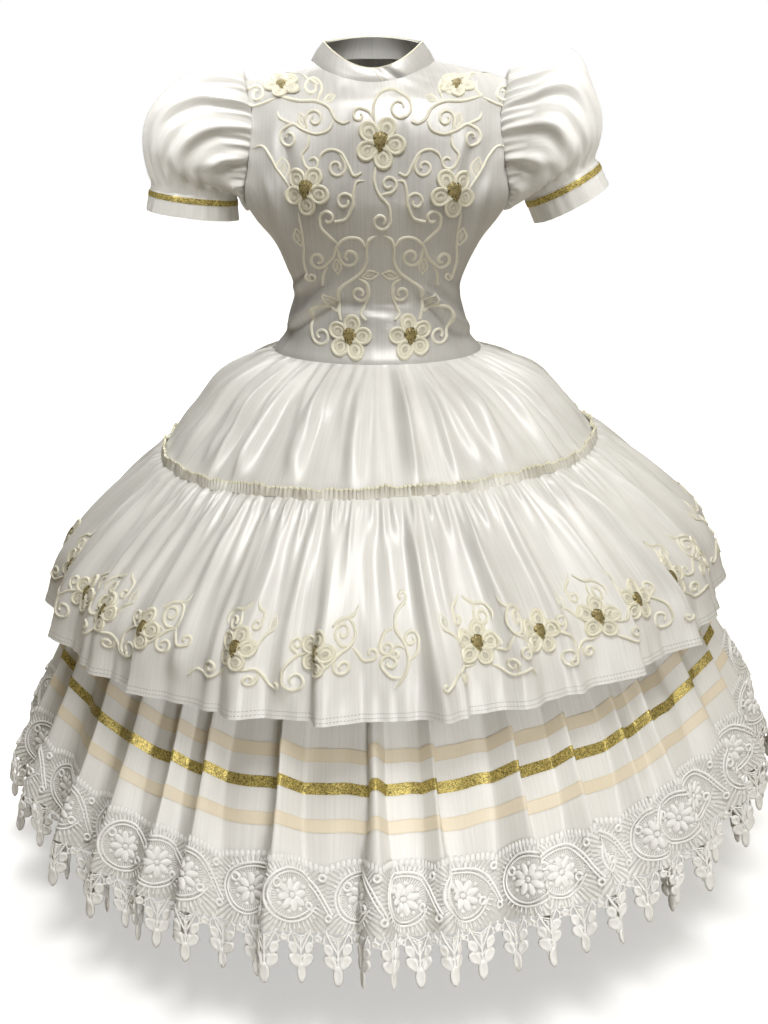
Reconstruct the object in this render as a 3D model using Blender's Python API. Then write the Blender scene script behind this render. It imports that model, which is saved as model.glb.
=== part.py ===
"""A girl's white satin riding dress, hollow and filled out as when it is worn.

Metres, +Z up. The wearer's front faces -Y and +X is to the right of someone who looks at the front.
The origin is the middle of the neck opening, level with the shoulders, where the wearer carries the dress.
Every cloth piece is a thin wall between two grids of points: the outer grid comes from a table of
sections and a rule for the folds, and the inner grid is the same one moved in by the wall's thickness.
"""

import math
from collections import namedtuple

import bmesh
import bpy
import numpy as np
from mathutils import Vector
from mathutils.bvhtree import BVHTree

# Colours and finishes
WHITE = (0.860, 0.845, 0.810)
CREAM = (0.870, 0.830, 0.700)
PEACH = (0.930, 0.800, 0.660)
GOLD = (0.560, 0.430, 0.120)
LACE_WHITE = (0.900, 0.895, 0.880)
SATIN_ROUGHNESS = 0.42
RIBBON_ROUGHNESS = 0.35
FRILL_ROUGHNESS = 0.50
THREAD_ROUGHNESS = 0.55
LACE_ROUGHNESS = 0.80
GOLD_METALLIC = 0.8
SHARP_ANGLE = 40.0  # edges sharper than this are shaded as edges

# Cloth and seams
SATIN = 0.0012  # wall of satin cloth with its seam allowances
COLLAR_WALL = 0.0018  # two layers of satin and their stiffening
RIBBON = 0.0010
LACE = 0.0016
FRILL = 0.0010
SEAM_GAP = 0.0003
OVERLAY_GAP = 0.00035  # between a panel and what is sewn on it
MITRE_LIMIT = 0.45  # at a sharp corner, points move at most 1 / MITRE_LIMIT times as far as faces

# Bodice
BODICE_COLUMNS = 32
SEAM_COLUMN = 6  # column of the curved side-front seam, counted from the centre front
SHOULDER_COLUMN = 8  # column of the shoulder seam
UNDERARM_ROW = 8  # the side panels end at this row, inside the armhole

Section = namedtuple("Section", "z half_width front back square front_dip back_rise seam_angle shift")
BODICE_SECTIONS = (
    Section(-0.3275, 0.1290, 0.104, 0.094, 2.0, 0.000, 0.000, 66, 0.0),
    Section(-0.3100, 0.1142, 0.092, 0.082, 2.0, 0.000, 0.000, 66, 0.0),
    Section(-0.2865, 0.1085, 0.084, 0.074, 2.1, 0.000, 0.000, 66, 0.0),
    Section(-0.2560, 0.1010, 0.080, 0.068, 2.1, 0.000, 0.000, 66, 0.0),
    Section(-0.2256, 0.1104, 0.086, 0.074, 2.2, 0.000, 0.000, 66, 0.0),
    Section(-0.1950, 0.1255, 0.096, 0.080, 2.2, 0.000, 0.000, 64, 0.0),
    Section(-0.1710, 0.1443, 0.103, 0.085, 2.3, 0.000, 0.000, 58, 0.0),
    Section(-0.1500, 0.1570, 0.107, 0.088, 2.3, 0.000, 0.000, 54, 0.0),
    Section(-0.1100, 0.1600, 0.101, 0.087, 2.3, 0.000, 0.000, 71, 0.0),
    Section(-0.0540, 0.1564, 0.085, 0.080, 2.2, 0.003, 0.000, 67, 0.0),
    Section(-0.0290, 0.1568, 0.076, 0.074, 1.9, 0.012, 0.002, 67, 0.0),
    Section(-0.0150, 0.1460, 0.068, 0.066, 1.6, 0.018, 0.003, 67, -0.001),
    Section(-0.0055, 0.1100, 0.062, 0.059, 1.6, 0.0215, 0.004, 67, -0.003),
    Section(0.0020, 0.0709, 0.056, 0.050, 2.0, 0.0234, 0.004, 67, -0.004),
)

# Armholes, oval holes through the sides
ARMHOLE_Z = -0.0900
ARMHOLE_HALF_HEIGHT = 0.0680
ARMHOLE_HALF_DEPTH = 0.0470
ARMHOLE_REACH = (0.125, 0.200)  # from and to, outwards from the middle

# Stand collar in two halves that cross at the centre front
COLLAR_LIFT = 0.0005  # the collar stands this far over and inside the neck edge
COLLAR_TOP = Section(0.0226, 0.0565, 0.0500, 0.0460, 2.0, 0.0296, 0.0074, 0, -0.004)
COLLAR_COLUMNS = 12  # on each half
COLLAR_OVER = (10.0, 0.0)  # degrees past the centre where the upper half ends, at its base and top
COLLAR_UNDER = (-2.0, -6.0)  # the same for the lower half
COLLAR_SPACING = 0.8  # power that draws the columns together towards the back
COLLAR_STEP = 0.0026  # how far the lower end steps in under the upper one
COLLAR_RAMP = 16.0  # degrees over which it steps in

# Sleeves: a ring for each row, given by its middle, lean, height and depth
SLEEVE_COLUMNS = 24
Ring = namedtuple("Ring", "x z lean half_height half_depth gather")
SLEEVE_LEFT = (
    Ring(0.1685, -0.0850, 8.7, 0.0759, 0.056, 0.0020),
    Ring(0.1915, -0.0860, 27.6, 0.0720, 0.063, 0.0035),
    Ring(0.2105, -0.0980, 44.7, 0.0675, 0.065, 0.0032),
    Ring(0.2180, -0.1128, 59.9, 0.0613, 0.063, 0.0026),
)
SLEEVE_RIGHT = (
    Ring(0.1715, -0.0810, 10.4, 0.0803, 0.057, 0.0020),
    Ring(0.1945, -0.0800, 22.5, 0.0823, 0.064, 0.0040),
    Ring(0.2095, -0.0948, 35.2, 0.0720, 0.066, 0.0034),
    Ring(0.2158, -0.1095, 47.2, 0.0610, 0.063, 0.0026),
)
CUFF_LEFT = (
    Ring(0.2165, -0.1380, 83.0, 0.0504, 0.050, 0.0),
    Ring(0.2200, -0.1680, 83.0, 0.0545, 0.054, 0.0),
)
CUFF_RIGHT = (
    Ring(0.2145, -0.1226, 62.0, 0.0465, 0.053, 0.0),
    Ring(0.2318, -0.1552, 62.0, 0.0480, 0.0547, 0.0),
)
SLEEVE_UNEVEN = 0.45  # by how much the gathers differ in height
SLEEVE_UNEVEN_STEP = 2.1  # radians of that change from one column to the next
SLEEVE_TUCK = 0.0006  # the sleeve ends this far outside and above the cuff's edge
SLEEVE_IN_HOLE = 0.0004  # clearance of the sleeve's seam inside the armhole
SLEEVE_ROOT = (-0.0030, 0.0030)  # the sleeve's first two rows, measured from the bodice's side
FOLD_TIP = 0.0110  # the peaked fold on top of the wearer's left sleeve
CUFF_RIBBON = (0.24, 0.44)  # from and to, as shares of the cuff's height

# The skirts lean a little on the wearer: one side is higher, and the hem swings to it
WAIST_Z = -0.3285
SKIRT_RISE = 0.042  # rise for each metre to the right
SKIRT_SWING = 0.045  # swing to the right for each metre down, below the upper tier
SWING_FROM = -0.40
RISE_FADE = 0.05  # depth below the waist over which the rise begins

# Folds of the skirts: three columns each, a crest between two valleys
VALLEY = -0.35  # height of a valley, as a share of the fold's depth
CREST = 0.65
FOLD_FOOT = 0.27  # from crest to valley, as a share of the way to the next crest
CREST_DRIFT = 0.16  # unevenness of the crests' places, as a share of their spacing
HIDDEN_DRIFT = 1.6  # the same in degrees, for folds at the back
DEPTH_DRIFT = 0.25
TIP_DRIFT = 0.07
DRIFT_STEPS = (2.3, 1.7, 2.9)  # radians of change from fold to fold, for places, depths and tips

# Upper tier, gathered into the waist
Level = namedtuple("Level", "z half_width front back front_rise fold")
TIER_FOLDS = 26
TIER_LEVELS = (
    Level(-0.4427, 0.2735, 0.2735, 0.2735, 0.012, 0.0008),
    Level(-0.3920, 0.2250, 0.2120, 0.2060, 0.006, 0.0120),
    Level(-0.3520, 0.1800, 0.1600, 0.1520, 0.001, 0.0110),
    Level(-0.3290, 0.1303, 0.1053, 0.0953, 0.000, 0.0010),
)

# Flounce and the small frill over its seam
FLOUNCE_FOLDS = 26
FLOUNCE_LEVELS = (
    Level(-0.6220, 0.4300, 0.4300, 0.4300, 0.014, 0.0150),
    Level(-0.5560, 0.4040, 0.4040, 0.4040, 0.012, 0.0125),
    Level(-0.4900, 0.3360, 0.3360, 0.3360, 0.012, 0.0080),
    Level(-0.4433, 0.2745, 0.2745, 0.2745, 0.012, 0.0008),
)
HEADING_WAVES = 50
HEADING_HEIGHT = 0.0120
HEADING_STAND = (0.0022, 0.0070)  # how far the frill's edge stands off, in its valleys and on its crests
HEADING_ROOT = 0.0016
HEADING_UNEVEN = 0.25
HEADING_UNEVEN_STEP = 1.3

# Underskirt: its folds are flat faces that all run to one point over the waist
UNDERSKIRT_FOLDS = 32
HEM_Z = -0.8244
HEM_RADIUS = 0.4830
HEM_FOLD = 0.0260
HEM_TUCK = 0.0010  # the cloth ends this far above the lace's lower edge
UNDERSKIRT_FOOT = 0.30
SPREAD = 0.50  # metres that the underskirt spreads for each metre down
APEX_Z = HEM_Z + HEM_RADIUS / SPREAD
UNDERSKIRT_TOP_Z = -0.5600
GATHER_Z = -0.5750
YOKE_COLUMNS = 33
YOKE_LEVELS = (
    Level(-0.5583, 0.3545, 0.3545, 0.3545, 0.0, 0.0),
    Level(-0.3293, 0.1276, 0.1026, 0.0926, 0.0, 0.0),
)

Band = namedtuple("Band", "name top bottom colour")
BANDS = (
    Band("ribbon_peach_upper", -0.6590, -0.6714, PEACH),
    Band("ribbon_gold", -0.6898, -0.7003, GOLD),
    Band("ribbon_peach_lower", -0.7222, -0.7343, PEACH),
)

# Lace: one pendant on each face of the folds, joined to the next by a bar
FACE_WIDTH = 2 * math.pi * HEM_RADIUS / (3 * UNDERSKIRT_FOLDS)
LACE_TOP_Z = -0.7612
PENDANT_DROP = 0.0560
PENDANT_SPREAD = 1.025  # the lace's tips lie this much further out than the hem
GAP_TOP = 0.0055
BAR_DEPTH = 0.0030
ROOT_SHARE = 0.30
Knot = namedtuple("Knot", "share drop")
PENDANT_OUTLINE = (  # half of a pendant, from the bar to the tip, as shares of a face and drops
    Knot(0.13, 0.0200),
    Knot(0.31, 0.0285),
    Knot(0.19, 0.0380),
)

# Folds of the underskirt that the front view shows, by angle from the front
Fold = namedtuple("Fold", "angle depth")
SEEN_FOLDS = (
    Fold(-60.4, 1.15),
    Fold(-48.2, 1.20),
    Fold(-38.8, 1.05),
    Fold(-32.1, 0.80),
    Fold(-24.9, 0.95),
    Fold(-13.8, 1.10),
    Fold(-1.1, 1.00),
    Fold(5.4, 0.65),
    Fold(16.1, 1.20),
    Fold(25.7, 0.95),
    Fold(34.4, 0.90),
    Fold(41.9, 0.85),
    Fold(52.0, 1.10),
    Fold(63.0, 1.15),
)

# Raised flowers on the bodice, by their middles as seen from the front. Stand is how far the flat
# underside lies off the cloth, more where the cloth is rounder.
Flower = namedtuple("Flower", "name x z width turn stand")
FLOWERS = (
    Flower("flower_chest", 0.0045, -0.0840, 0.050, 6, 0.00055),
    Flower("flower_bust_left", -0.0775, -0.1335, 0.047, -14, 0.0016),
    Flower("flower_bust_right", 0.0855, -0.1360, 0.047, 18, 0.0020),
    Flower("flower_waist_left", -0.0315, -0.3000, 0.046, 10, 0.0010),
    Flower("flower_waist_right", 0.0395, -0.2995, 0.046, -8, 0.00075),
    Flower("flower_shoulder_left", -0.1045, -0.0250, 0.038, 24, 0.0015),
    Flower("flower_shoulder_right", 0.0890, -0.0240, 0.038, -30, 0.0006),
)
PETALS = 5
STEPS_A_PETAL = 3
PETAL_NOTCH = 0.62  # radius between two petals, as a share of the flower's
FLOWER_EDGE = 0.0012  # and at its edge
FLOWER_CROWN = 0.0017  # a flower's thickness in its middle
FLOWER_RING = 0.5  # radius of the points that hold its underside on the cloth, as a share
PETAL_SHIFT = 0.12  # how far a petal's two corners draw together, in steps
TINY = 1e-12


def material(name, colour, roughness, metallic=0.0):
    """One finish for each piece."""
    made = bpy.data.materials.new(name)
    made.use_nodes = True
    shader = made.node_tree.nodes["Principled BSDF"]
    shader.inputs["Base Color"].default_value = (*colour, 1.0)
    shader.inputs["Roughness"].default_value = roughness
    shader.inputs["Metallic"].default_value = metallic
    return made


def satin(name):
    """White satin for a piece."""
    return material(name, WHITE, SATIN_ROUGHNESS)


def add_object(name, points, faces, finish, collection):
    """A mesh object in a collection, shaded smooth but for its edges."""
    mesh = bpy.data.meshes.new(name)
    mesh.from_pydata([tuple(p) for p in points], [], faces)
    mesh.materials.append(finish)
    mesh.shade_smooth()
    mesh.set_sharp_from_angle(angle=math.radians(SHARP_ANGLE))
    obj = bpy.data.objects.new(name, mesh)
    collection.objects.link(obj)
    return obj


def oval(section, angle, square):
    """x and y of a rounded outline at an angle from the front, in radians."""
    power = 2.0 / square
    sine, cosine = np.sin(angle), np.cos(angle)
    depth = np.where(cosine > 0, section.front, section.back)
    x = section.half_width * np.sign(sine) * np.abs(sine) ** power
    y = -depth * np.sign(cosine) * np.abs(cosine) ** power
    return x, y


def face_normals(grid):
    """Outward unit normals of the faces of a grid whose columns close on themselves."""
    across = np.roll(grid, -1, axis=1)
    rising = across[1:] - grid[:-1]
    falling = grid[1:] - across[:-1]
    normals = np.cross(rising, falling)
    return normals / np.linalg.norm(normals, axis=2, keepdims=True)


def mitres(grid):
    """At each point, the vector that moves all faces round it outwards by about one metre."""
    faces = face_normals(grid)
    rows = grid.shape[0]
    total = np.zeros_like(grid)
    for row in range(rows):
        for band in (row - 1, row):
            if 0 <= band < rows - 1:
                total[row] += faces[band] + np.roll(faces[band], 1, axis=0)
    unit = total / np.linalg.norm(total, axis=2, keepdims=True)
    cosine = np.ones(grid.shape[:2])
    for row in range(rows):
        for band in (row - 1, row):
            if 0 <= band < rows - 1:
                for shift in (0, 1):
                    side = np.roll(faces[band], shift, axis=0)
                    cosine[row] = np.minimum(cosine[row], (unit[row] * side).sum(axis=1))
    return unit / np.maximum(cosine, MITRE_LIMIT)[..., None]


def walls(grid, outer, inner):
    """The outer and inner grids of a wall, as distances outwards from a grid."""
    direction = mitres(grid)
    return grid + direction * outer, grid + direction * inner


def trimmed(grid, guide, cells, gap):
    """A grid whose points on the side edges of the chosen cells are moved in by gap, along guide."""
    moved = grid.copy()
    ahead = np.roll(guide, -1, axis=1) - guide
    ahead /= np.linalg.norm(ahead, axis=2, keepdims=True)
    before = np.roll(cells, 1, axis=1)
    starts = cells & ~before
    ends = before & ~cells
    for row, column in np.argwhere(starts):
        for end in (row, row + 1):
            moved[end, column] = grid[end, column] + ahead[end, column] * gap
    for row, column in np.argwhere(ends):
        for end in (row, row + 1):
            moved[end, column] = grid[end, column] - ahead[end, column - 1] * gap
    return moved


def cell_faces(cells):
    """Triangles of a closed wall over the chosen cells; inner points follow the outer ones."""
    rows, columns = cells.shape
    inside = (rows + 1) * columns

    def corner(row, column, wall):
        return wall * inside + row * columns + column % columns

    faces = []
    for row, column in np.argwhere(cells):
        a, b = corner(row, column, 0), corner(row, column + 1, 0)
        c, d = corner(row + 1, column + 1, 0), corner(row + 1, column, 0)
        faces += [(a, b, c), (a, c, d)]
        faces += [(a + inside, c + inside, b + inside), (a + inside, d + inside, c + inside)]
        left = cells[row, (column - 1) % columns]
        right = cells[row, (column + 1) % columns]
        below = row > 0 and cells[row - 1, column]
        above = row < rows - 1 and cells[row + 1, column]
        for joined, start, end in ((below, b, a), (above, d, c), (left, a, d), (right, c, b)):
            if not joined:
                faces += [(start, end, end + inside), (start, end + inside, start + inside)]
    return faces


def shell(name, grids, cells, finish, collection):
    """A closed wall between two grids, over the cells given."""
    outer, inner = grids
    points = np.concatenate(
        [trimmed(g, outer, cells, SEAM_GAP / 2).reshape(-1, 3) for g in (outer, inner)]
    )
    faces = np.array(cell_faces(cells))
    used, numbered = np.unique(faces, return_inverse=True)
    faces = numbered.reshape(faces.shape)
    return add_object(name, points[used], faces.tolist(), finish, collection)


def all_cells(grid):
    """Every cell of a grid that closes on itself."""
    return np.ones((grid.shape[0] - 1, grid.shape[1]), bool)


def columns_between(grid, first, last):
    """The cells of the columns from first up to last, counted round the ring."""
    cells = np.zeros((grid.shape[0] - 1, grid.shape[1]), bool)
    cells[:, [c % grid.shape[1] for c in range(first, last)]] = True
    return cells


def bodice_angle(section, column):
    """The angle of a column, drawn towards the side-front seam of its row."""
    side = abs(column)
    seam = section.seam_angle
    shoulder = 90.0
    if side <= SEAM_COLUMN:
        angle = seam * side / SEAM_COLUMN
    elif side <= SHOULDER_COLUMN:
        angle = seam + (shoulder - seam) * (side - SEAM_COLUMN) / (SHOULDER_COLUMN - SEAM_COLUMN)
    else:
        return math.copysign(180.0 - abs(bodice_angle(section, 2 * SHOULDER_COLUMN - side)), column)
    return math.copysign(angle, column)


def bodice_point(section, angle):
    """A point of a bodice section at an angle in radians; the top rows dip at the front."""
    x, y = oval(section, angle, section.square)
    facing = np.cos(angle)
    z = section.z + np.where(facing > 0, -section.front_dip, section.back_rise) * facing**2
    return np.stack([x + section.shift, y, z + 0 * x], axis=-1)


def bodice_grid():
    """The bodice's outer points, from the waist up; column 16 is the centre front."""
    half = BODICE_COLUMNS // 2
    rows = []
    for section in BODICE_SECTIONS:
        angles = np.radians([bodice_angle(section, c) for c in range(-half, half)])
        rows.append(bodice_point(section, angles))
    return np.array(rows)


def armhole_cutter(side, collection):
    """An oval bar that cuts one armhole."""
    start, end = ARMHOLE_REACH
    mesh = bpy.data.meshes.new("armhole")
    shape = bmesh.new()
    bmesh.ops.create_cone(
        shape, cap_ends=True, segments=SLEEVE_COLUMNS, radius1=1.0, radius2=1.0, depth=end - start
    )
    for point in shape.verts:
        across, along, height = point.co
        point.co = (
            side * ((start + end) / 2 + height),
            ARMHOLE_HALF_DEPTH * across,
            ARMHOLE_Z + ARMHOLE_HALF_HEIGHT * along,
        )
    bmesh.ops.recalc_face_normals(shape, faces=shape.faces)
    shape.to_mesh(mesh)
    shape.free()
    cutter = bpy.data.objects.new("armhole_left" if side < 0 else "armhole_right", mesh)
    cutter.hide_render = True
    cutter.display_type = "WIRE"
    collection.objects.link(cutter)
    return cutter


def build_bodice(collection, cutters):
    """Front, side and back panels, with the armholes cut through them."""
    grid = bodice_grid()
    grids = walls(grid, 0.0, -SATIN)
    middle, seam, shoulder = BODICE_COLUMNS // 2, SEAM_COLUMN, SHOULDER_COLUMN
    back_seam = 2 * shoulder - seam
    lower = np.zeros((grid.shape[0] - 1, 1), bool)
    lower[:UNDERARM_ROW] = True

    def panel(narrow, wide):
        return (columns_between(grid, *narrow) & lower) | (columns_between(grid, *wide) & ~lower)

    front = panel((middle - seam, middle + seam), (middle - shoulder, middle + shoulder))
    side_right = columns_between(grid, middle + seam, middle + back_seam) & lower
    side_left = columns_between(grid, middle - back_seam, middle - seam) & lower
    back_right = panel((middle + back_seam, 2 * middle), (middle + shoulder, 2 * middle))
    back_left = panel((0, middle - back_seam), (0, middle - shoulder))
    cut = {side: armhole_cutter(side, cutters) for side in (-1, 1)}
    for name, cells, sides in (
        ("bodice_front", front, (-1, 1)),
        ("bodice_side_left", side_left, (-1,)),
        ("bodice_side_right", side_right, (1,)),
        ("bodice_back_left", back_left, (-1,)),
        ("bodice_back_right", back_right, (1,)),
    ):
        piece = shell(name, grids, cells, satin(name), collection)
        for side in sides:
            hole = piece.modifiers.new(f"armhole_{side}", "BOOLEAN")
            hole.operation = "DIFFERENCE"
            hole.solver = "EXACT"
            hole.object = cut[side]


def build_collar(collection):
    """Two halves of a stand collar; the wearer's right half lies over the left one."""
    neck = BODICE_SECTIONS[-1]
    base = neck._replace(
        z=neck.z + COLLAR_LIFT,
        half_width=neck.half_width - COLLAR_LIFT,
        front=neck.front - COLLAR_LIFT,
        back=neck.back - COLLAR_LIFT,
    )
    gap = math.degrees(SEAM_GAP / neck.back)
    for name, start, ends, step in (
        ("collar_left", -180.0 + gap, COLLAR_OVER, 0.0),
        ("collar_right", 180.0 - gap, COLLAR_UNDER, COLLAR_STEP),
    ):
        rows = []
        for section, end in zip((base, COLLAR_TOP), ends, strict=True):
            share = np.linspace(0.0, 1.0, COLLAR_COLUMNS + 1) ** COLLAR_SPACING
            angles = start + (end - start) * share
            if name == "collar_right":
                angles = angles[::-1]
            points = bodice_point(section, np.radians(angles))
            inwards = np.clip((COLLAR_OVER[0] + COLLAR_RAMP - angles) / COLLAR_RAMP, 0.0, 1.0)
            points[:, 1] += step * inwards
            rows.append(points)
        grid = np.array(rows)
        direction = mitres(grid)
        direction[:, 0] = 2 * direction[:, 1] - direction[:, 2]  # the ends carry on the turn of the cloth
        direction[:, -1] = 2 * direction[:, -2] - direction[:, -3]
        cells = all_cells(grid)
        cells[:, -1] = False
        points = np.concatenate([grid.reshape(-1, 3), (grid - direction * COLLAR_WALL).reshape(-1, 3)])
        add_object(name, points, cell_faces(cells), satin(name), collection)


def bodice_side(y, z):
    """How far out the bodice's side lies at a depth and a height."""
    table = BODICE_SECTIONS
    heights = [s.z for s in table]
    width = np.interp(z, heights, [s.half_width for s in table])
    front = np.interp(z, heights, [s.front for s in table])
    back = np.interp(z, heights, [s.back for s in table])
    square = np.interp(z, heights, [s.square for s in table])
    depth = np.where(y < 0, front, back)
    return width * (1.0 - np.abs(y / depth) ** square) ** (1.0 / square)


def ring_points(ring, side, turn, stand=0.0):
    """A sleeve ring: turn is 0 on top of the arm and runs towards the front."""
    lean = math.radians(ring.lean)
    height = (ring.half_height + stand) * np.cos(turn)
    depth = (ring.half_depth + stand) * np.sin(turn)
    x = side * (ring.x + math.sin(lean) * height)
    return np.stack([x, -depth, ring.z + math.cos(lean) * height], axis=-1)


def upward_columns(grid, side):
    """Rings listed so that the faces point outwards on either side of the body."""
    return grid if side > 0 else np.roll(grid[:, ::-1], 1, axis=1)


def build_sleeve(side, rings, cuff, name, collection):
    """A puffed sleeve, its cuff and the ribbon round the cuff."""
    turn = np.arange(SLEEVE_COLUMNS) * 2 * math.pi / SLEEVE_COLUMNS
    rows = []
    for reach in SLEEVE_ROOT:
        y = -(ARMHOLE_HALF_DEPTH - SLEEVE_IN_HOLE) * np.sin(turn)
        z = ARMHOLE_Z + (ARMHOLE_HALF_HEIGHT - SLEEVE_IN_HOLE) * np.cos(turn)
        rows.append(np.stack([side * (bodice_side(y, z) + reach), y, z], axis=-1))
    crest = np.where(np.arange(SLEEVE_COLUMNS) % 2 == 0, 1.0, -1.0)
    uneven = 1.0 + SLEEVE_UNEVEN * np.sin(np.arange(SLEEVE_COLUMNS) * SLEEVE_UNEVEN_STEP + side)
    for number, ring in enumerate(rings):
        stand = crest * uneven * ring.gather
        if side > 0 and number == 0:
            stand[0] += FOLD_TIP
        rows.append(ring_points(ring, side, turn, stand))
    cuff_rows = [ring_points(r, side, turn) for r in cuff]
    axis = cuff_rows[1].mean(axis=0) - cuff_rows[0].mean(axis=0)
    axis /= np.linalg.norm(axis)
    rows.append(ring_points(cuff[0], side, turn, SLEEVE_TUCK) - axis * SLEEVE_TUCK)
    for piece, rings in ((f"sleeve_{name}", rows), (f"cuff_{name}", cuff_rows)):
        grid = upward_columns(np.array(rings), side)
        shell(piece, walls(grid, 0.0, -SATIN), all_cells(grid), satin(piece), collection)

    start, end = (cuff_rows[0] + (cuff_rows[1] - cuff_rows[0]) * share for share in CUFF_RIBBON)
    grid = upward_columns(np.array([start, end]), side)
    finish = material(f"cuff_ribbon_{name}", GOLD, RIBBON_ROUGHNESS, GOLD_METALLIC)
    grids = walls(grid, OVERLAY_GAP + RIBBON, OVERLAY_GAP)
    shell(f"cuff_ribbon_{name}", grids, all_cells(grid), finish, collection)


def lean(points):
    """The skirts' lean: one side rises, and what is below swings to it."""
    swung = points.copy()
    swung[..., 0] += SKIRT_SWING * np.maximum(SWING_FROM - points[..., 2], 0.0)
    rise = SKIRT_RISE * np.clip((WAIST_Z - points[..., 2]) / RISE_FADE, 0.0, 1.0)
    swung[..., 2] += rise * points[..., 0]
    return swung


def fold_columns(folds, seed, seen=(), foot=FOLD_FOOT):
    """Angles and heights of three columns a fold: valley, crest, valley.

    A crest stands at the middle of each fold and leans to one side. Between folds the cloth is flat.
    The folds in seen keep their places, and the others share the rest of the ring unevenly.
    """
    place_step, depth_step, tip_step = DRIFT_STEPS
    if seen:
        others = folds - len(seen)
        start, end = seen[-1].angle, seen[0].angle + 360.0
        step = np.arange(1, others + 1)
        spaced = start + (end - start) * step / (others + 1)
        hidden = spaced + HIDDEN_DRIFT * np.sin(step * place_step + seed)
        centres = np.concatenate([hidden, [f.angle + 360.0 for f in seen]])
        deep = 1.0 + DEPTH_DRIFT * np.sin(step * depth_step + seed)
        depths = np.concatenate([deep, [f.depth for f in seen]])
    else:
        step = np.arange(folds)
        pitch = 360.0 / folds
        centres = pitch * (step + 0.5 + CREST_DRIFT * np.sin(step * place_step + seed))
        depths = 1.0 + DEPTH_DRIFT * np.sin(step * depth_step + 2 * seed)
    before = (centres - np.roll(centres, 1)) % 360.0
    after = (np.roll(centres, -1) - centres) % 360.0
    tip = TIP_DRIFT * np.sin(np.arange(folds) * tip_step + seed) * np.minimum(before, after)
    angles = np.stack([centres - foot * before, centres + tip, centres + foot * after], axis=1)
    heights = depths[:, None] * (VALLEY, CREST, VALLEY)
    return np.radians(angles.reshape(-1)), heights.reshape(-1)


def level_ring(level, angles, heights):
    """A ring of a skirt level, with its folds moved out and in."""
    flat = Section(level.z, level.half_width, level.front, level.back, 2.0, 0.0, 0.0, 0, 0.0)
    x, y = oval(flat, angles, 2.0)
    out = np.stack([np.sin(angles), -np.cos(angles)], axis=-1) * (heights * level.fold)[:, None]
    rise = level.front_rise * np.maximum(np.cos(angles), 0.0) ** 2
    return np.stack([x + out[:, 0], y + out[:, 1], level.z + rise], axis=-1)


def side_columns(angles):
    """The valley columns nearest to the two side seams."""
    valleys = np.arange(0, len(angles), 3)
    degrees = np.degrees(angles[valleys]) % 360.0
    right = valleys[np.argmin(np.abs(degrees - 90.0))]
    left = valleys[np.argmin(np.abs(degrees - 270.0))]
    return int(right), int(left)


def build_panels(stem, grids, angles, collection):
    """A ring cut at its side seams into a front and a back panel."""
    right, left = side_columns(angles)
    count = len(angles)
    for name, first, last in (("back", right, left), ("front", left, right + count)):
        if last - first > count:
            last -= count
        cells = columns_between(grids[0], first, last)
        shell(f"{stem}_{name}", grids, cells, satin(f"{stem}_{name}"), collection)


def build_tier_and_flounce(collection):
    """The upper tier, the flounce and the gathered frill over the seam between them."""
    for stem, levels, folds, seed in (
        ("skirt_tier", TIER_LEVELS, TIER_FOLDS, 1.0),
        ("flounce", FLOUNCE_LEVELS, FLOUNCE_FOLDS, 2.0),
    ):
        angles, heights = fold_columns(folds, seed)
        grid = lean(np.array([level_ring(level, angles, heights) for level in levels]))
        build_panels(stem, walls(grid, 0.0, -SATIN), angles, collection)

    count = 2 * HEADING_WAVES
    angles = np.arange(count) * 2 * math.pi / count
    seam = FLOUNCE_LEVELS[-1]
    above = TIER_LEVELS[1]
    run = np.array([above.half_width - seam.half_width, above.z - seam.z])
    run /= np.linalg.norm(run)
    out = np.array([run[1], -run[0]])
    crest = (np.arange(count) % 2).astype(float)
    crest *= 1.0 - HEADING_UNEVEN * (1.0 - np.sin(np.arange(count) * HEADING_UNEVEN_STEP))
    valley, top = HEADING_STAND
    rows = []
    root, edge = np.full(count, HEADING_ROOT), valley + (top - valley) * crest
    for height, stand in ((0.0, root), (HEADING_HEIGHT, edge)):
        radius = seam.half_width + run[0] * height + out[0] * stand
        z = seam.z + run[1] * height + out[1] * stand
        z = z + seam.front_rise * np.maximum(np.cos(angles), 0.0) ** 2
        rows.append(np.stack([radius * np.sin(angles), -radius * np.cos(angles), z], axis=-1))
    grid = lean(np.array(rows))
    finish = material("flounce_heading", CREAM, FRILL_ROUGHNESS)
    shell("flounce_heading", walls(grid, FRILL / 2, -FRILL / 2), all_cells(grid), finish, collection)


def cone_ring(hem, z):
    """The hem's ring drawn towards the point over the waist, at a height."""
    share = (APEX_Z - z) / (APEX_Z - HEM_Z)
    return np.stack([hem[:, 0] * share, hem[:, 1] * share, np.full(len(hem), z)], axis=-1)


def hem_ring():
    """Angles and points of the underskirt's folded hem."""
    angles, heights = fold_columns(UNDERSKIRT_FOLDS, 3.0, SEEN_FOLDS, UNDERSKIRT_FOOT)
    hem = Level(HEM_Z, HEM_RADIUS, HEM_RADIUS, HEM_RADIUS, 0.0, HEM_FOLD)
    return angles, level_ring(hem, angles, heights)


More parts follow.
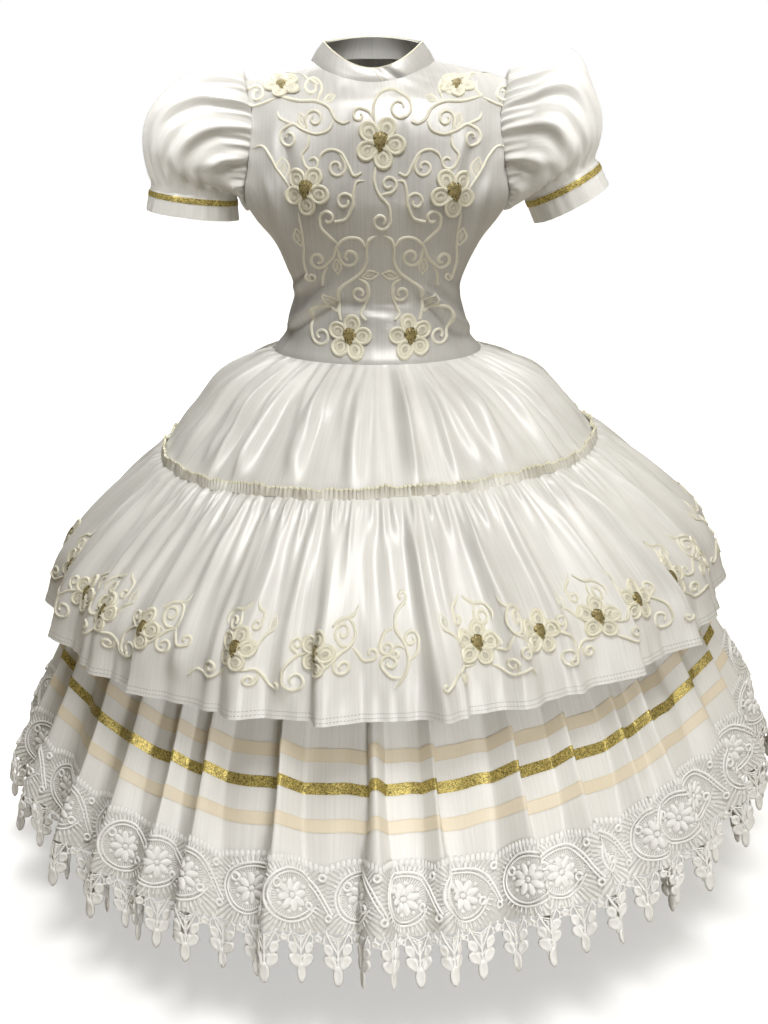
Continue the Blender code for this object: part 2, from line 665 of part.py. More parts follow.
def build_underskirt(collection):
    """The hidden yoke, the folded panels, and the three ribbons round them."""
    yoke_angles = (np.arange(YOKE_COLUMNS) + 0.5) * 2 * math.pi / YOKE_COLUMNS
    plain = np.zeros(YOKE_COLUMNS)
    yoke = lean(np.array([level_ring(level, yoke_angles, plain) for level in YOKE_LEVELS]))
    finish = satin("underskirt_yoke")
    shell("underskirt_yoke", walls(yoke, 0.0, -SATIN), all_cells(yoke), finish, collection)

    angles, hem = hem_ring()
    top = YOKE_LEVELS[0]._replace(z=UNDERSKIRT_TOP_Z)
    gathered = level_ring(top, angles, np.zeros(len(angles)))
    rows = [cone_ring(hem, HEM_Z + HEM_TUCK), cone_ring(hem, GATHER_Z), gathered]
    grid = lean(np.array(rows))
    build_panels("underskirt", walls(grid, 0.0, -SATIN), angles, collection)
    for band in BANDS:
        grid = lean(np.array([cone_ring(hem, band.bottom), cone_ring(hem, band.top)]))
        metallic = GOLD_METALLIC if band.colour == GOLD else 0.0
        finish = material(band.name, band.colour, RIBBON_ROUGHNESS, metallic)
        grids = walls(grid, OVERLAY_GAP + RIBBON, OVERLAY_GAP)
        shell(band.name, grids, all_cells(grid), finish, collection)


def lace_rows():
    """Rings of the lace at its top edge, its lower edge and its tips, and how far each moves out."""
    _, hem = hem_ring()
    edge = cone_ring(hem, HEM_Z)
    tips = edge * (PENDANT_SPREAD, PENDANT_SPREAD, 1.0) - (0.0, 0.0, PENDANT_DROP)
    upper = lean(np.array([edge, cone_ring(hem, LACE_TOP_Z)]))
    lower = lean(np.array([tips, edge]))
    upper_out, lower_out = mitres(upper), mitres(lower)
    return (upper[1], upper[0], lower[0]), (upper_out[1], upper_out[0], lower_out[0])


def lace_point(rings, outs, column, share, level, stand):
    """A point on one face of the lace: share runs across it, and level is 0 top, 1 edge, 2 tips."""
    upper = min(int(level), 1)
    down = level - upper
    after = (column + 1) % len(rings[0])
    point = 0.0
    for row, weight in ((upper, 1.0 - down), (upper + 1, down)):
        for place, part in ((column, 1.0 - share), (after, share)):
            point = point + weight * part * (rings[row][place] + outs[row][place] * stand)
    return point


def pendant_drops():
    """The outline of half a pendant, from its bar down to its tip, as (share, level)."""
    knots = [Knot(0.0, GAP_TOP), Knot(0.0, GAP_TOP + BAR_DEPTH), *PENDANT_OUTLINE]
    return [(k.share, 1.0 + k.drop / PENDANT_DROP) for k in knots]


class LacePiece:
    """One stretch of the lace, from one column of the hem's folds to another."""

    def __init__(self, first, last):
        self.rings, self.outs = lace_rows()
        self.first, self.last = first, last
        self.numbers, self.spots, self.faces = {}, [], []

    def vertex(self, place, share, level, wall):
        """The number of a point, shared between neighbouring faces of the lace."""
        edge = place + int(share) if share in (0.0, 1.0) else None
        key = (edge, level, wall) if edge is not None else (place, share, level, wall)
        if key not in self.numbers:
            inset = SEAM_GAP / 2 / FACE_WIDTH
            if edge == self.first:
                share = inset
            if edge == self.last:
                share = 1.0 - inset
                place = self.last - 1
            stand = OVERLAY_GAP + (LACE if wall == 0 else 0.0)
            column = place % len(self.rings[0])
            self.numbers[key] = len(self.spots)
            self.spots.append(lace_point(self.rings, self.outs, column, share, level, stand))
        return self.numbers[key]

    def add_outline(self, place, corners):
        """Front and back faces of a flat outline of (share, level, rim), and walls on its rims."""
        outer = [self.vertex(place, share, level, 0) for share, level, _ in corners]
        inner = [self.vertex(place, share, level, 1) for share, level, _ in corners]
        for a, b, c in triangles_of([(share, level) for share, level, _ in corners]):
            self.faces.append((outer[a], outer[b], outer[c]))
            self.faces.append((inner[a], inner[c], inner[b]))
        for i, (share, _, rim) in enumerate(corners):
            j = (i + 1) % len(corners)
            starts = share == 0.0 and place == self.first
            ends = share == 1.0 and place == self.last - 1
            if rim or (share == corners[j][0] and (starts or ends)):
                self.faces.append((outer[j], outer[i], inner[i]))
                self.faces.append((outer[j], inner[i], inner[j]))


def build_lace(collection):
    """Guipure lace on the hem: a band over the cloth and a row of joined pendants under it."""
    angles, _ = hem_ring()
    right, left = side_columns(angles)
    count = len(angles)
    bar_top, bar_bottom, *knots = pendant_drops()
    band = [
        (0.0, 0.0, False),
        (0.0, 1.0, True),
        (ROOT_SHARE, 1.0, False),
        (1.0 - ROOT_SHARE, 1.0, True),
        (1.0, 1.0, False),
        (1.0, 0.0, True),
    ]
    down = [(share, level, True) for share, level in knots]
    pendant = [(ROOT_SHARE, 1.0, True), (*bar_top, False), (*bar_bottom, True), *down, (0.5, 2.0, True)]
    pendant += [(1.0 - share, level, True) for share, level, _ in reversed(down)]
    pendant += [(1.0, bar_bottom[1], False), (1.0, bar_top[1], True), (1.0 - ROOT_SHARE, 1.0, False)]
    for name, first, last in (("lace_back", right, left), ("lace_front", left, right + count)):
        if last - first > count:
            last -= count
        piece = LacePiece(first, last)
        for place in range(first, last):
            piece.add_outline(place, band)
            piece.add_outline(place, pendant)
        finish = material(name, LACE_WHITE, LACE_ROUGHNESS)
        add_object(name, piece.spots, piece.faces, finish, collection)


def triangles_of(outline):
    """Ear clipping of a flat outline whose first coordinate runs right and whose second runs down."""
    places = list(range(len(outline)))
    points = [np.array(p) for p in outline]

    def turn(a, b, c):
        first, second = points[b] - points[a], points[c] - points[b]
        return -(first[0] * second[1] - first[1] * second[0])

    found = []
    while len(places) > 3:
        best = None
        for i, b in enumerate(places):
            a, c = places[i - 1], places[(i + 1) % len(places)]
            size = turn(a, b, c)
            if size <= TINY:
                continue
            others = [p for p in places if p not in (a, b, c)]
            if any(turn(a, b, p) >= 0 and turn(b, c, p) >= 0 and turn(c, a, p) >= 0 for p in others):
                continue
            reach = np.linalg.norm(points[a] - points[c])
            if best is None or reach < best[0]:
                best = (reach, i, (a, b, c))
        found.append(best[2])
        places.pop(best[1])
    found.append(tuple(places))
    return found


def bodice_tree():
    """The faces of the bodice's outer grid, to find where something lies on them."""
    grid = bodice_grid()
    rows, columns = grid.shape[:2]
    faces = []
    for row in range(rows - 1):
        for column in range(columns):
            after = (column + 1) % columns
            a, b = row * columns + column, row * columns + after
            c, d = b + columns, a + columns
            faces += [(a, b, c), (a, c, d)]
    return BVHTree.FromPolygons(grid.reshape(-1, 3).tolist(), faces)


def seen_spot(tree, place):
    """Where a line of sight from the front through a place meets the bodice, and how it faces."""
    spot, normal, _, _ = tree.ray_cast(Vector((place[0], -1.0, place[2])), Vector((0.0, 1.0, 0.0)))
    return np.array(spot), np.array(normal)


def petal_radius(step):
    """A share of the flower's radius at a step: a notch, then the two corners of a petal."""
    return PETAL_NOTCH if step % STEPS_A_PETAL == 0 else 1.0


def build_flowers(collection):
    """Raised flowers of five petals, laid on the bodice's front."""
    tree = bodice_tree()
    count = STEPS_A_PETAL * PETALS
    for flower in FLOWERS:
        middle, facing = seen_spot(tree, (flower.x, 0.0, flower.z))
        across = np.cross((0.0, 0.0, 1.0), facing)
        across /= np.linalg.norm(across)
        up = np.cross(facing, across)

        def place(step, share, flower=flower, middle=middle, across=across, up=up):
            corner = step + (0.0, PETAL_SHIFT, -PETAL_SHIFT)[step % STEPS_A_PETAL]
            turn = 2 * math.pi * corner / count + math.radians(flower.turn)
            radius = share * petal_radius(step) * flower.width / 2
            return seen_spot(tree, middle + radius * (math.cos(turn) * across + math.sin(turn) * up))

        under, ring = [middle + facing * flower.stand], []
        over = [middle + facing * (flower.stand + FLOWER_CROWN)]
        for step in range(count):
            spot, out = place(step, FLOWER_RING)
            ring.append(spot + out * flower.stand)
        for step in range(count):
            spot, out = place(step, 1.0)
            under.append(spot + out * flower.stand)
            over.append(spot + out * (flower.stand + FLOWER_EDGE))
        points = np.array(over + under + ring)
        low = count + 1
        half = 2 * count + 2
        faces = []
        for step in range(count):
            after = (step + 1) % count
            a, b = 1 + step, 1 + after
            c, d = half + step, half + after
            faces += [(0, a, b), (low, d, c), (c, low + b, low + a), (c, d, low + b)]
            faces += [(a, low + a, low + b), (a, low + b, b)]
        add_object(flower.name, points, faces, material(flower.name, CREAM, THREAD_ROUGHNESS), collection)


def main():
    """Empties the scene and builds the dress."""
    for obj in list(bpy.data.objects):
        bpy.data.objects.remove(obj, do_unlink=True)
    dress = bpy.data.collections.new("escaramuza_dress")
    cutters = bpy.data.collections.new("cutters")
    for collection in (dress, cutters):
        bpy.context.scene.collection.children.link(collection)
    build_bodice(dress, cutters)
    build_collar(dress)
    build_sleeve(-1, SLEEVE_LEFT, CUFF_LEFT, "left", dress)
    build_sleeve(1, SLEEVE_RIGHT, CUFF_RIGHT, "right", dress)
    build_tier_and_flounce(dress)
    build_underskirt(dress)
    build_lace(dress)
    build_flowers(dress)


main()
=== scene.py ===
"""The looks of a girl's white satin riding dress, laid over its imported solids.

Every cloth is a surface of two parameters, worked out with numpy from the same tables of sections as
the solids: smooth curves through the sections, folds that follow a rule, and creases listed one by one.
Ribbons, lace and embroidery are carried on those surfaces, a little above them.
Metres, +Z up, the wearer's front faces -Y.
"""

from __future__ import annotations

import logging
import math
from dataclasses import astuple, dataclass, field
from enum import Enum

import bpy
import numpy as np
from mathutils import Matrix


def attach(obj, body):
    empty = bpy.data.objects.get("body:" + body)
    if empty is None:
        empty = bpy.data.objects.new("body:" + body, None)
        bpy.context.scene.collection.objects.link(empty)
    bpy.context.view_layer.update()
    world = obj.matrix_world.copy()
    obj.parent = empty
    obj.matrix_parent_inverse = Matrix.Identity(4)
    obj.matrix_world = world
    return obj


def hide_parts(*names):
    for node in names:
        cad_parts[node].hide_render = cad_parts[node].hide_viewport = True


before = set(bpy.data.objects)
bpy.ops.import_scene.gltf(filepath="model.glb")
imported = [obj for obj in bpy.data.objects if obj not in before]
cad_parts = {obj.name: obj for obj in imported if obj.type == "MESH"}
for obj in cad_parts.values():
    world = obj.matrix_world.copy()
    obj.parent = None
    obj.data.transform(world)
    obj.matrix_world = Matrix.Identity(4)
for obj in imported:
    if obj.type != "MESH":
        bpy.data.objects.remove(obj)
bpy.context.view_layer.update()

log = logging.getLogger("dress")
Grid = np.ndarray
Socket = bpy.types.NodeSocket
Pair = tuple[float, float]
Triple = tuple[float, float, float]
TAU = 2.0 * math.pi


# Curves and tables


def smooth(x: Grid, knots: Grid, values: Grid) -> Grid:
    """A smooth curve through a table: cubic pieces whose slopes come from the neighbouring rows.

    Args:
        x: Where to read the curve; past the table's ends it keeps the end values.
        knots: The table's places, rising.
        values: The table's values.

    Returns:
        The curve's values at x.
    """
    knots, values = np.asarray(knots, float), np.asarray(values, float)
    slopes = np.gradient(values, knots)
    x = np.clip(x, knots[0], knots[-1])
    i = np.clip(np.searchsorted(knots, x, side="right") - 1, 0, len(knots) - 2)
    wide = knots[i + 1] - knots[i]
    t = (x - knots[i]) / wide
    first = (2 * t**3 - 3 * t**2 + 1) * values[i] + (t**3 - 2 * t**2 + t) * wide * slopes[i]
    return first + (3 * t**2 - 2 * t**3) * values[i + 1] + (t**3 - t**2) * wide * slopes[i + 1]


def read_column(rows: tuple, name: str, z: Grid) -> Grid:
    """One column of a table, whose rows rise in z, read smoothly at heights z."""
    return smooth(z, [row.z for row in rows], [getattr(row, name) for row in rows])


def fade(x: Grid, start: float, end: float) -> Grid:
    """0 at start and 1 at end, with a soft turn at both."""
    t = np.clip((x - start) / (end - start), 0.0, 1.0)
    return t * t * (3.0 - 2.0 * t)


def unit(vectors: Grid) -> Grid:
    """Vectors brought to length 1."""
    return vectors / np.maximum(np.linalg.norm(vectors, axis=-1, keepdims=True), 1e-12)


def apart(azimuth: Grid, middle: Grid) -> Grid:
    """The angle in radians between azimuths in degrees, the short way round."""
    return np.radians((azimuth - middle + 180.0) % 360.0 - 180.0)


def on_ring(x: Grid, places: Grid, values: Grid) -> Grid:
    """Reads a table that goes once round a ring; past the ring it goes on round it.

    Args:
        x: Where to read.
        places: The table's places, rising, the last one a whole turn past the first.
        values: The table's values, the last one likewise.

    Returns:
        The values at x.
    """
    around_once = places[-1] - places[0]
    turns = np.floor((x - places[0]) / around_once)
    return np.interp(x - turns * around_once, places, values) + turns * (values[-1] - values[0])


def run_of(path: Grid) -> Grid:
    """The length along a path up to each of its points."""
    return np.concatenate([[0.0], np.cumsum(np.linalg.norm(np.diff(path, axis=0), axis=-1))])


def mean_run(points: Grid, axis: int) -> Grid:
    """The mean length of a grid of points up to each row, or with axis 1 up to each column."""
    steps = np.linalg.norm(np.diff(points, axis=axis), axis=2).mean(axis=1 - axis)
    return np.concatenate([[0.0], np.cumsum(steps)])


def cells(rows: int, columns: int) -> tuple[Grid, Grid]:
    """Row and column of every cell of a grid, one row after another."""
    return np.divmod(np.arange(rows * columns), columns)


@dataclass(frozen=True)
class Crease:
    """A soft ridge, or with a negative height a trough, from one place on a cloth to another."""

    start: Pair
    end: Pair
    width: float
    height: float

    def relief(self, a: Grid, b: Grid) -> Grid:
        """Height at places (a, b): a bell across the line, wider at its end, that fades at both ends."""
        (a0, b0), (a1, b1) = self.start, self.end
        da, db = a1 - a0, b1 - b0
        length = math.hypot(da, db)
        along = ((a - a0) * da + (b - b0) * db) / length**2
        across = ((a - a0) * db - (b - b0) * da) / length
        wide = self.width * (0.55 + 0.9 * np.clip(along, 0.0, 1.0))
        bell = np.exp(-((across / wide) ** 2)) - 0.45 * np.exp(-(((across - 1.7 * wide) / wide) ** 2))
        ends = fade(along, -0.12, 0.18) * (1.0 - fade(along, 0.62, 1.12))
        return self.height * bell * ends


def relief_of(creases: tuple[Crease, ...], a: Grid, b: Grid) -> Grid:
    """The sum of several creases."""
    return sum((crease.relief(a, b) for crease in creases), np.zeros(np.broadcast(a, b).shape))


@dataclass(frozen=True)
class Pleat:
    """One long fold of a skirt, given in a list.

    Its middle runs from one azimuth at its upper end to another at its lower end, in degrees; its
    ends are distances below the seam, and its half width and height are those of the lower end.
    """

    azimuth: Pair
    ends: Pair
    width: float
    height: float

    def relief(self, azimuth: Grid, below: Grid, radius: Grid) -> Grid:
        """A ridge with a shallow trough on either side, narrow above and wide below."""
        start, end = self.ends
        share = np.clip((below - start) / (end - start), 0.0, 1.0)
        middle = self.azimuth[0] + (self.azimuth[1] - self.azimuth[0]) * share
        wide = self.width * (0.45 + 0.55 * share)
        t = apart(azimuth, middle) * radius / wide
        shown = fade(below, start - 0.012, start + 0.03) * (1 - fade(below, end - 0.03, end))
        return self.height * ridge(t) * shown


def ridge(t: Grid) -> Grid:
    """A soft ridge with a shallow trough on either side: (1 - t^2 / 2) exp(-t^2 / 2)."""
    return (1.0 - 0.5 * t * t) * np.exp(-0.5 * t * t)


def scatter(count: int, seed: float) -> Grid:
    """Numbers between 0 and 1 that look unordered, the same on each run."""
    return np.modf(np.abs(np.sin((np.arange(count) + 1.0) * 12.9898 + seed * 4.1414)) * 43758.5453)[0]


@dataclass
class Gathers:
    """Uneven gathers below a seam: short ridges, each with its own place, length and height."""

    count: int
    seed: float
    height: float
    width: float
    length: Pair

    def relief(self, azimuth: Grid, below: Grid, radius: Grid) -> Grid:
        """The sum of the ridges at azimuths in degrees and distances below the seam."""
        pitch = 360.0 / self.count
        place = (np.arange(self.count) + 0.7 * scatter(self.count, self.seed)) * pitch
        long = self.length[0] + (self.length[1] - self.length[0]) * scatter(self.count, self.seed + 1) ** 2
        high = self.height * (0.55 + 0.8 * scatter(self.count, self.seed + 2))
        drift = pitch * 1.2 * (scatter(self.count, self.seed + 3) - 0.5) / 0.1
        below, radius = below[..., None], radius[..., None]
        middle = place + drift * np.maximum(below, 0.0)
        wide = self.width * (1.0 + 1.6 * np.clip(below / 0.12, 0, 1.2))
        t = apart(azimuth[..., None], middle) * radius / wide
        strength = fade(below, -0.002, 0.004) * (1.0 - fade(below, 0.25 * long, long))
        return (high * ridge(t) * strength).sum(axis=-1)


# Cloth surfaces


class Cloth:
    """A surface of two parameters, u across and v along."""

    step_u = 0.0015
    step_v = 0.0007

    def point(self, u: Grid, v: Grid) -> Grid:
        """The surface's points."""
        raise NotImplementedError

    def tangents(self, u: Grid, v: Grid) -> tuple[Grid, Grid]:
        """How the point moves with u and with v, by small differences."""
        across = self.point(u + self.step_u, v) - self.point(u - self.step_u, v)
        along = self.point(u, v + self.step_v) - self.point(u, v - self.step_v)
        return across / (2 * self.step_u), along / (2 * self.step_v)

    def normal(self, u: Grid, v: Grid) -> Grid:
        """Unit normals, the cross product of the two tangents."""
        return unit(np.cross(*self.tangents(u, v)))

    def lifted(self, u: Grid, v: Grid, height: Grid | float) -> Grid:
        """Points at a height over the surface."""
        return self.point(u, v) + self.normal(u, v) * np.asarray(height, float)[..., None]


@dataclass(frozen=True)
class Section:
    """One level of the bodice, from the waist up."""

    z: float
    half_width: float
    front: float
    back: float
    square: float
    front_dip: float = 0.0
    back_rise: float = 0.0
    seam_angle: float = 66.0
    shift: float = 0.0


BODICE_SECTIONS = (
    Section(-0.3275, 0.129, 0.104, 0.094, 2.0),
    Section(-0.31, 0.1142, 0.092, 0.082, 2.0),
    Section(-0.2865, 0.1085, 0.084, 0.074, 2.1),
    Section(-0.256, 0.101, 0.08, 0.068, 2.1),
    Section(-0.2256, 0.1104, 0.086, 0.074, 2.2),
    Section(-0.195, 0.1255, 0.096, 0.08, 2.2, seam_angle=64),
    Section(-0.171, 0.1443, 0.103, 0.085, 2.3, seam_angle=58),
    Section(-0.15, 0.157, 0.107, 0.088, 2.3, seam_angle=54),
    Section(-0.11, 0.16, 0.101, 0.087, 2.3, seam_angle=71),
    Section(-0.054, 0.1564, 0.085, 0.08, 2.2, 0.003, 0.000, 67),
    Section(-0.029, 0.1568, 0.076, 0.074, 1.9, 0.012, 0.002, 67),
    Section(-0.015, 0.146, 0.068, 0.066, 1.6, 0.018, 0.003, 67, -0.001),
    Section(-0.0055, 0.11, 0.062, 0.059, 1.6, 0.0215, 0.004, 67, -0.003),
    Section(0.002, 0.0709, 0.056, 0.05, 2.0, 0.0234, 0.004, 67, -0.004),
)
COLLAR_TOP = Section(0.0226, 0.0565, 0.05, 0.046, 2.0, 0.0296, 0.0074, 0.0, -0.004)


@dataclass
class BodiceCloth(Cloth):
    """The bodice: u is the angle from the front in radians, and v the height of the section."""

    sections: tuple[Section, ...] = BODICE_SECTIONS
    creases: tuple[Crease, ...] = ()

    def read(self, name: str, v: Grid) -> Grid:
        """One column of the sections' table at heights v."""
        return read_column(self.sections, name, v)

    def point(self, u: Grid, v: Grid) -> Grid:
        """A rounded outline at each height: |x / w|^s + |y / d|^s = 1, its top rows dipping at the front."""
        sine, cosine = np.sin(u), np.cos(u)
        power = 2.0 / self.read("square", v)
        depth = np.where(cosine > 0, self.read("front", v), self.read("back", v))
        x = self.read("half_width", v) * np.sign(sine) * np.abs(sine) ** power
        y = -depth * np.sign(cosine) * np.abs(cosine) ** power
        dip = np.where(cosine > 0, -self.read("front_dip", v), self.read("back_rise", v))
        z = v + dip * cosine**2
        out = relief_of(self.creases, x, z) * fade(cosine, 0.0, 0.3) if self.creases else 0.0
        out = out + 0.0007 * np.sin(3 * u + 41 * v + 0.7) * np.sin(2 * u - 63 * v)
        out = out + 0.00028 * np.sin(23 * u + 3 * np.sin(37 * v)) * np.sin(31 * v + 2 * np.sin(9 * u))
        return np.stack([x + self.read("shift", v) + sine * out, y - cosine * out, z + 0 * x], axis=-1)

    def seen(self, x: Grid, z: Grid) -> tuple[Grid, Grid]:
        """The parameters of the front's point that is seen straight ahead at (x, z)."""
        v = np.asarray(z, float) + 0.0
        u = np.zeros_like(v)
        for _ in range(6):
            share = np.clip(np.abs(x - self.read("shift", v)) / self.read("half_width", v), 0.0, 0.999)
            u = np.sign(x) * np.arcsin(share ** (self.read("square", v) / 2.0))
            v = z + self.read("front_dip", v) * np.cos(u) ** 2
        return u, v


ARMHOLE = (-0.09, 0.068, 0.047)  # height, half height and half depth of both armholes
ARMHOLE_INNER = 0.12  # no armhole reaches further in than this
SIDE_PANEL_TOP = -0.112
SEAM_TUCK = 0.0012  # how far a sleeve is sewn inside the bodice and inside its cuff


@dataclass(frozen=True)
class Ring:
    """One ring of a sleeve: its middle, lean from upright in degrees and half sizes."""

    x: float
    z: float
    lean: float
    half_height: float
    half_depth: float

    def row(self, grown: float = 0.0) -> Grid:
        """Its numbers in a row, with its half sizes grown."""
        return np.array([self.x, self.z, self.lean, self.half_height + grown, self.half_depth + grown])


@dataclass
class SleeveCloth(Cloth):
    """A puffed sleeve: u is the turn from the top of the arm towards the front, v runs 0 to 1."""

    side: int
    rings: tuple[Ring, ...]
    cuff: tuple[Ring, Ring]
    creases: tuple[Crease, ...] = ()
    peak: float = 0.0
    gathers: int = 46
    rows: Grid = field(init=False)
    stations: Grid = field(init=False)

    step_v = 0.004

    def __post_init__(self) -> None:
        """Rings of middles and half sizes from the armhole to just inside the cuff."""
        z, height, depth = ARMHOLE
        root = Ring(0.156, z, 2.0, height, depth)
        top, low = self.cuff
        tucked = top.row(-SEAM_TUCK) + (low.row(-SEAM_TUCK) - top.row(-SEAM_TUCK)) * 0.3
        self.rows = np.array([root.row(), *(ring.row() for ring in self.rings), top.row(0.0004), tucked])
        turns = np.abs(np.diff(np.radians(self.rows[:, 2])))
        steps = np.hypot(np.diff(self.rows[:, 0]), np.diff(self.rows[:, 1])) + 0.021 * turns
        stations = np.concatenate([[0.0], np.cumsum(steps)])
        self.stations = stations / stations[-1]

    def point(self, u: Grid, v: Grid) -> Grid:
        """Leaning ovals whose middles follow the table, moved out by gathers and creases."""
        x, z, lean, height, depth = (smooth(v, self.stations, self.rows[:, i]) for i in range(5))
        root = 1.0 - fade(v, 0.02, 0.2)
        cuffed = fade(v, 0.62, 0.84) * (1.0 - fade(v, 0.86, 0.93))
        phase = 0.5 * self.gathers * u + 1.3 * np.sin(3 * u) + 0.8 * self.side
        wave = 1.0 - 2.0 * np.abs(np.sin(phase)) ** 1.3
        second = np.sin(57 * u + 2.0 * np.sin(2 * u))
        near = fade(v, 0.0, 0.05)
        gather = near * root * (0.003 * wave + 0.0013 * second) * (0.8 + 0.3 * np.sin(2 * u + 1.0))
        gather = gather + cuffed * 0.002 * np.sin(23 * u + 2.2 * np.sin(2 * u) + self.side)
        out = gather + relief_of(self.creases, u, v)
        turn = (u + math.pi) % TAU - math.pi
        crown = np.exp(-((turn / 0.16) ** 2)) * fade(v, 0.0, 0.25) * (1.0 - fade(v, 0.3, 0.62))
        out = out + self.peak * crown
        swell = 0.0035 * np.sin(math.pi * np.clip(v / 0.8, 0, 1))
        rise = (height + out + swell) * np.cos(u)
        deep = (depth + out + swell) * np.sin(u)
        angle = np.radians(lean)
        base = BodiceCloth()
        side_y = -depth * np.sin(u)
        heights = z + np.cos(angle) * height * np.cos(u)
        reach = np.where(side_y < 0, base.read("front", heights), base.read("back", heights))
        level = np.clip(np.abs(side_y) / reach, 0, 0.98)
        square = base.read("square", heights)
        body = base.read("half_width", heights) * (1.0 - level**square) ** (1.0 / square) - SEAM_TUCK
        free = x + np.sin(angle) * rise
        joined = fade(v, 0.0, 0.16)
        across = self.side * (body * (1 - joined) + free * joined)
        return np.stack([across, -deep, z + np.cos(angle) * rise], axis=-1)


@dataclass
class CuffCloth(Cloth):
    """A straight cuff between two leaning ovals: u is the turn and v runs 0 at its top to 1."""

    side: int
    rings: tuple[Ring, Ring]

    step_v = 0.01

    def point(self, u: Grid, v: Grid) -> Grid:
        """Ovals between the two rings, with faint puckers."""
        top, low = self.rings
        x, z, lean, height, depth = (a + (b - a) * v for a, b in zip(top.row(), low.row()))
        out = 0.0004 * np.sin(17 * u + 2 * np.sin(3 * u)) + 0.0004 * np.sin(5 * u + 3 * v)
        out = out - 0.0022 * (1 - fade(v, 0.0, 0.3)) + 0.0005
        angle = np.radians(lean)
        rise = (height + out) * np.cos(u)
        across = self.side * (x + np.sin(angle) * rise)
        return np.stack([across, -(depth + out) * np.sin(u), z + np.cos(angle) * rise], axis=-1)


# Skirts

WAIST_Z = -0.3285


def leaned(points: Grid) -> Grid:
    """The skirts' lean: one side rises, and what is below swings to it."""
    moved = points.copy()
    moved[..., 0] += 0.045 * np.maximum(-0.4 - points[..., 2], 0.0)
    moved[..., 2] += 0.042 * np.clip((WAIST_Z - points[..., 2]) / 0.05, 0.0, 1.0) * points[..., 0]
    return moved


@dataclass(frozen=True)
class Level:
    """One level of a skirt: its height, half width, depths, rise at the front, and folds."""

    z: float
    half_width: float
    front: float
    back: float
    front_rise: float
    fold: float


TIER_LEVELS = (
    Level(-0.4427, 0.2735, 0.2735, 0.2735, 0.012, 0.0008),
    Level(-0.392, 0.225, 0.212, 0.206, 0.006, 0.012),
    Level(-0.352, 0.18, 0.16, 0.152, 0.001, 0.011),
    Level(-0.329, 0.1303, 0.1053, 0.0953, 0.000, 0.001),
)
FLOUNCE_LEVELS = (
    Level(-0.622, 0.43, 0.43, 0.43, 0.014, 0.015),
    Level(-0.556, 0.404, 0.404, 0.404, 0.012, 0.0125),
    Level(-0.49, 0.336, 0.336, 0.336, 0.012, 0.008),
    Level(-0.4433, 0.2745, 0.2745, 0.2745, 0.012, 0.0008),
)
# azimuth in degrees and depth of the underskirt's folds that the photograph shows
SEEN_FOLDS = (
    (-60.4, 1.15), (-48.2, 1.2), (-38.8, 1.05), (-32.1, 0.8), (-24.9, 0.95), (-13.8, 1.1), (-1.1, 1.00),
    (5.4, 0.65), (16.1, 1.2), (25.7, 0.95), (34.4, 0.9), (41.9, 0.85), (52.0, 1.1), (63.0, 1.15),
)


